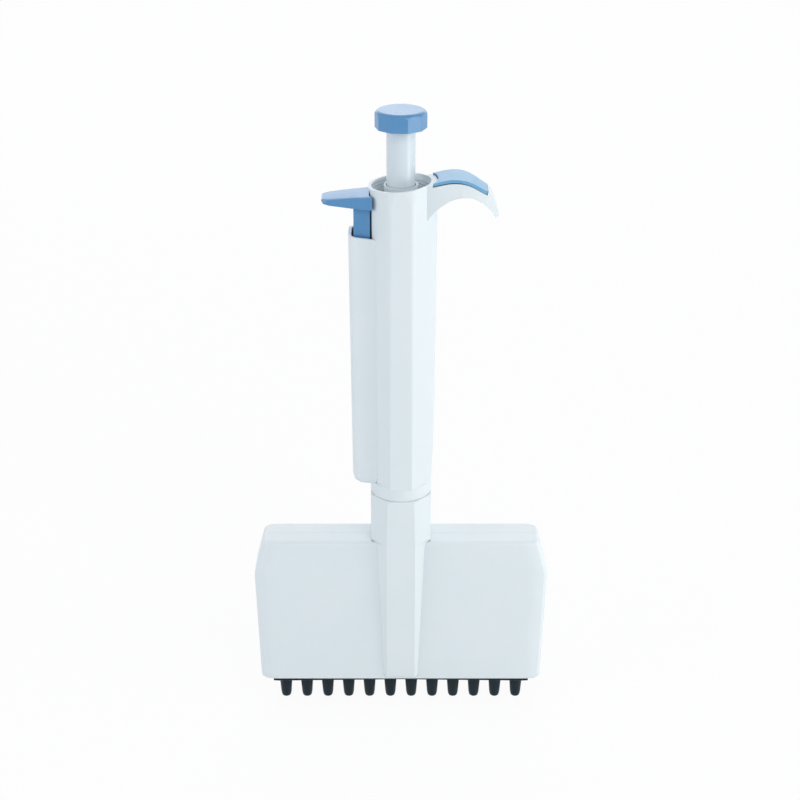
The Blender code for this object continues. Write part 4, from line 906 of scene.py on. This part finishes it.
# %% [markdown]
# ## Knob
#
# The knob has ten flat sides for the fingers and a round shoulder for the thumb. Bevelling a prism
# would give every side a straight top edge. Instead a ten-sided prism is kept only where a turned
# form with that shoulder also lies, so each side ends in an arch, as on the real knob.

# %% Model the knob
KNOB_SIDES = 10
KNOB_TURN = math.radians(180.0 / KNOB_SIDES - 3.3)
CORNER_RADIUS = 0.0097
CLEAR_OF_CORNERS = 0.0099
TOP_RADIUS = 0.00775
SHOULDER_WIDTH = 0.0021
SHOULDER_DROP = 0.0025
SHOULDER_STEPS = 8
SPARE = 0.0004

low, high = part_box("knob")
let_go()
bpy.ops.mesh.primitive_cylinder_add(
    vertices=KNOB_SIDES, radius=CORNER_RADIUS, depth=high.z - low.z + SPARE,
    location=(0.0, 0.0, (low.z + high.z) / 2), rotation=(0.0, 0.0, KNOB_TURN),
)
knob = name_new("knob_body")
bpy.ops.object.transform_apply(location=True, rotation=True, scale=True)
soften(knob, width=0.00015)
shoulder = [(0.0, low.z), (CLEAR_OF_CORNERS, low.z)]
for step in range(SHOULDER_STEPS + 1):
    turn = math.radians(90 - 90 * step / SHOULDER_STEPS)
    radius = TOP_RADIUS + SHOULDER_WIDTH * math.sin(turn)
    shoulder.append((radius, high.z - SHOULDER_DROP * (1 - math.cos(turn))))
shoulder.append((0.0, high.z))
combine(knob, turn_on_lathe("shoulder", shoulder, ROUND), "INTERSECT")

# %% Open it for the tube
SOCKET_RADIUS = 0.0057
SOCKET_DEPTH = 0.0032
SOCKET_SPARE = 0.002

socket = [
    (0.0, low.z - SOCKET_SPARE), (SOCKET_RADIUS, low.z - SOCKET_SPARE),
    (SOCKET_RADIUS, low.z + SOCKET_DEPTH), (0.0, low.z + SOCKET_DEPTH),
]
combine(knob, turn_on_lathe("socket", socket), "DIFFERENCE")
soften(knob, width=0.0001, degrees=12.0)
smooth(knob, degrees=25.0)
stand_for(knob, "knob")

# %% [markdown]
# ## Collar, guide and plunger
#
# The collar between handle and neck is a plain ring, with a cup above it that reaches up into the
# handle and holds the swivel bush. Both are one outline, spun once, so no seam has to be closed.

# %% Turn the collar
low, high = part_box("swivel_collar")
ring_radius = 0.0122
ring_top = low.z + 0.0056
cup_radius = 0.0097
cup_bore = 0.0089
cup_floor = low.z + 0.0069
bush_bore = 0.0075
collar = turn_on_lathe("collar", [
    (cup_radius, high.z), (cup_radius, ring_top), (ring_radius, ring_top), (ring_radius, low.z),
    (bush_bore, low.z), (bush_bore, cup_floor), (cup_bore, cup_floor), (cup_bore, high.z),
    (cup_radius, high.z),
], ROUND)
soften(collar, width=0.0001)
smooth(collar)
stand_for(collar, "swivel_collar")

# %% [markdown]
# The guide closes the well under the knob. It is a thin sleeve round the plunger, a deck with a
# stepped edge and four pockets for the calibration key, and a disc that carries it all. The pockets
# aren't round, so they can't be part of the spun outline: each is a softened block, turned to its
# place and cut out.

# %% Turn the guide
low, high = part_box("top_guide")
sleeve_radius = 0.0064
sleeve_bore = 0.0057
disc_radius = 0.0097
disc_top = low.z + 0.0015
deck_bottom = deck_top - 0.0014
first_step = deck_top + 0.0009
second_step = deck_top + 0.0024
floor_radius = 0.0091
step_radius = 0.0095
deck_radius = 0.0101
guide = turn_on_lathe("guide", [
    (sleeve_radius, high.z), (sleeve_radius, deck_top), (floor_radius, deck_top),
    (floor_radius, first_step), (step_radius, first_step), (disc_radius, second_step),
    (deck_radius, second_step),
    (deck_radius, deck_bottom), (sleeve_radius, deck_bottom), (sleeve_radius, disc_top),
    (disc_radius, disc_top), (disc_radius, low.z), (sleeve_bore, low.z), (sleeve_bore, high.z),
    (sleeve_radius, high.z),
], ROUND)

# %% Cut its pockets
POCKET_FROM = 0.0071
POCKET_TO = 0.0088
POCKET_HALF_WIDTH = 0.0025
POCKET_SPARE = 0.0005

pocket_low = (POCKET_FROM, -POCKET_HALF_WIDTH, deck_bottom - POCKET_SPARE)
pocket_high = (POCKET_TO, POCKET_HALF_WIDTH, deck_top + POCKET_SPARE)
for quarter in range(4):
    pocket = block(f"pocket {quarter}", pocket_low, pocket_high)
    soften(pocket, width=0.0005, segments=3)
    pocket.rotation_euler.z = math.radians(45 + 90 * quarter)
    combine(guide, pocket, "DIFFERENCE")
soften(guide, width=0.0001)
smooth(guide)
stand_for(guide, "top_guide")

# %% [markdown]
# The plunger is a smooth white tube between the knob and the rod inside. It is hollow, so it is
# spun from a closed outline with an inner and an outer wall and not from a solid cylinder.

# %% Turn the plunger's tube
low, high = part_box("plunger_tube")
tube_radius = 0.0054
tube_bore = 0.0036
plunger = turn_on_lathe("plunger", [
    (tube_radius, high.z), (tube_radius, low.z), (tube_bore, low.z), (tube_bore, high.z),
    (tube_radius, high.z),
], ROUND)
soften(plunger, width=0.0002)
smooth(plunger)
stand_for(plunger, "plunger_tube")

# %% [markdown]
# ## Counter
#
# Three rings show the volume through a window at the back. Each ring is a short moulded wheel with
# chamfered rims. The chamfer is drawn in the outline, where it costs nothing and stays even.

# %% Turn the wheels
RINGS = ["digit_ring_1", "digit_ring_2", "digit_ring_3"]
wheel_radius = 0.0094
wheel_bore = 0.0070
chamfer = 0.00025
for number, node in enumerate(RINGS, 1):
    low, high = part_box(node)
    wheel = turn_on_lathe(f"wheel_{number}", [
        (wheel_bore, low.z), (wheel_radius - chamfer, low.z), (wheel_radius, low.z + chamfer),
        (wheel_radius, high.z - chamfer), (wheel_radius - chamfer, high.z), (wheel_bore, high.z),
        (wheel_bore, low.z),
    ], steps=80)
    smooth(wheel)
    stand_for(wheel, node)

# %% [markdown]
# The ten digits of a ring are printed on it. A painted image would blur, and letters cut into the
# wheel would look moulded. Here each digit is a thin solid letter form let into the ring, because a
# form that stands a little proud catches the light as thick ink does.

# %% Form one digit
DIGIT_SIZE = 0.0042
INK_HALF_DEPTH = 0.00008
INK_RADIUS = 0.00938


def digit_form(name, digit, level, turn):
    """A thin solid digit at a level on the back of a wheel, turned round the wheel to its place."""
    let_go()
    bpy.ops.object.text_add(rotation=(math.radians(90), 0.0, math.radians(180)))
    letter = bpy.context.object
    letter.data.body = str(digit)
    letter.data.align_x = "CENTER"
    letter.data.align_y = "CENTER"
    letter.data.size = DIGIT_SIZE
    letter.data.extrude = INK_HALF_DEPTH
    letter.data.resolution_u = 6
    bpy.ops.object.convert(target="MESH")
    letter = name_new(name)
    bpy.ops.object.transform_apply(location=False, rotation=True, scale=False)
    bpy.ops.object.mode_set(mode="EDIT")
    bpy.ops.mesh.select_all(action="SELECT")
    bpy.ops.mesh.remove_doubles(threshold=SAME_POINT)
    bpy.ops.mesh.normals_make_consistent(inside=False)
    bpy.ops.transform.translate(value=(0.0, INK_RADIUS, level))
    bpy.ops.transform.rotate(value=turn, orient_axis="Z", center_override=(0.0, 0.0, 0.0))
    bpy.ops.object.mode_set(mode="OBJECT")
    return letter


# %% Print the digits, with 100 towards the window
SHOWN_DIGITS = [0, 0, 1]
for number, (node, shown) in enumerate(zip(RINGS, SHOWN_DIGITS), 1):
    low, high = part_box(node)
    level = (low.z + high.z) / 2
    printed = []
    for step in range(10):
        turn = math.radians(36 * step)
        printed.append(digit_form(f"digit_{number}_{step}", (shown + step) % 10, level, turn))
    take(printed[0])
    for letter in printed:
        letter.select_set(True)
    bpy.ops.object.join()
    digits = name_new(f"digits_{number}")
    digits.data.materials.clear()
    digits.data.materials.append(FINISH["black_plastic"])
    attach(digits, body_of[node])
    print(digits.name, len(digits.data.polygons), "faces on", body_of[node])

# %% [markdown]
# The pane in front of the counter is a clear block. Its edges are rounded in three segments,
# because a clear solid shows every edge that bends the light.

# %% Cut the window pane
low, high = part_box("counter_window")
window = block("window_pane", low, high)
soften(window, width=0.00025, segments=3)
smooth(window)
stand_for(window, "counter_window")

# %% [markdown]
# ## Ejector plate
#
# The plate that strips the tips is a thin moulded bar. Its ends curve down a little and one round
# hole lets each cone through. The frame's holes are ten-sided, so each is bored out round, and the
# bar is lifted by most of the frame's running gap, so that it lies close under the head.

# %% Bore the plate
PLATE_LIFT = 0.0005
HOLE_RADIUS = 0.00314
DRILL_LENGTH = 0.02

plate = merged_copy("ejector_plate", "stripper_plate")
shift(plate, (0.0, 0.0, PLATE_LIFT))
plate_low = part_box("ejector_plate")[0]
for number in range(1, 13):
    let_go()
    bpy.ops.mesh.primitive_cylinder_add(
        vertices=48, radius=HOLE_RADIUS, depth=DRILL_LENGTH, location=(cone_x(number), 0.0, plate_low.z),
    )
    combine(plate, name_new(f"drill {number}"), "DIFFERENCE")
soften(plate, width=0.00008, segments=1, degrees=35.0)
smooth(plate)
stand_for(plate, "ejector_plate")

# %% [markdown]
# ## View transform
#
# The dressed pipette must fill the same box as the frame. The view transform is set to Standard,
# so that a colour shows about as it was mixed.

# %% Set the view transform
bpy.context.scene.view_settings.view_transform = "Standard"
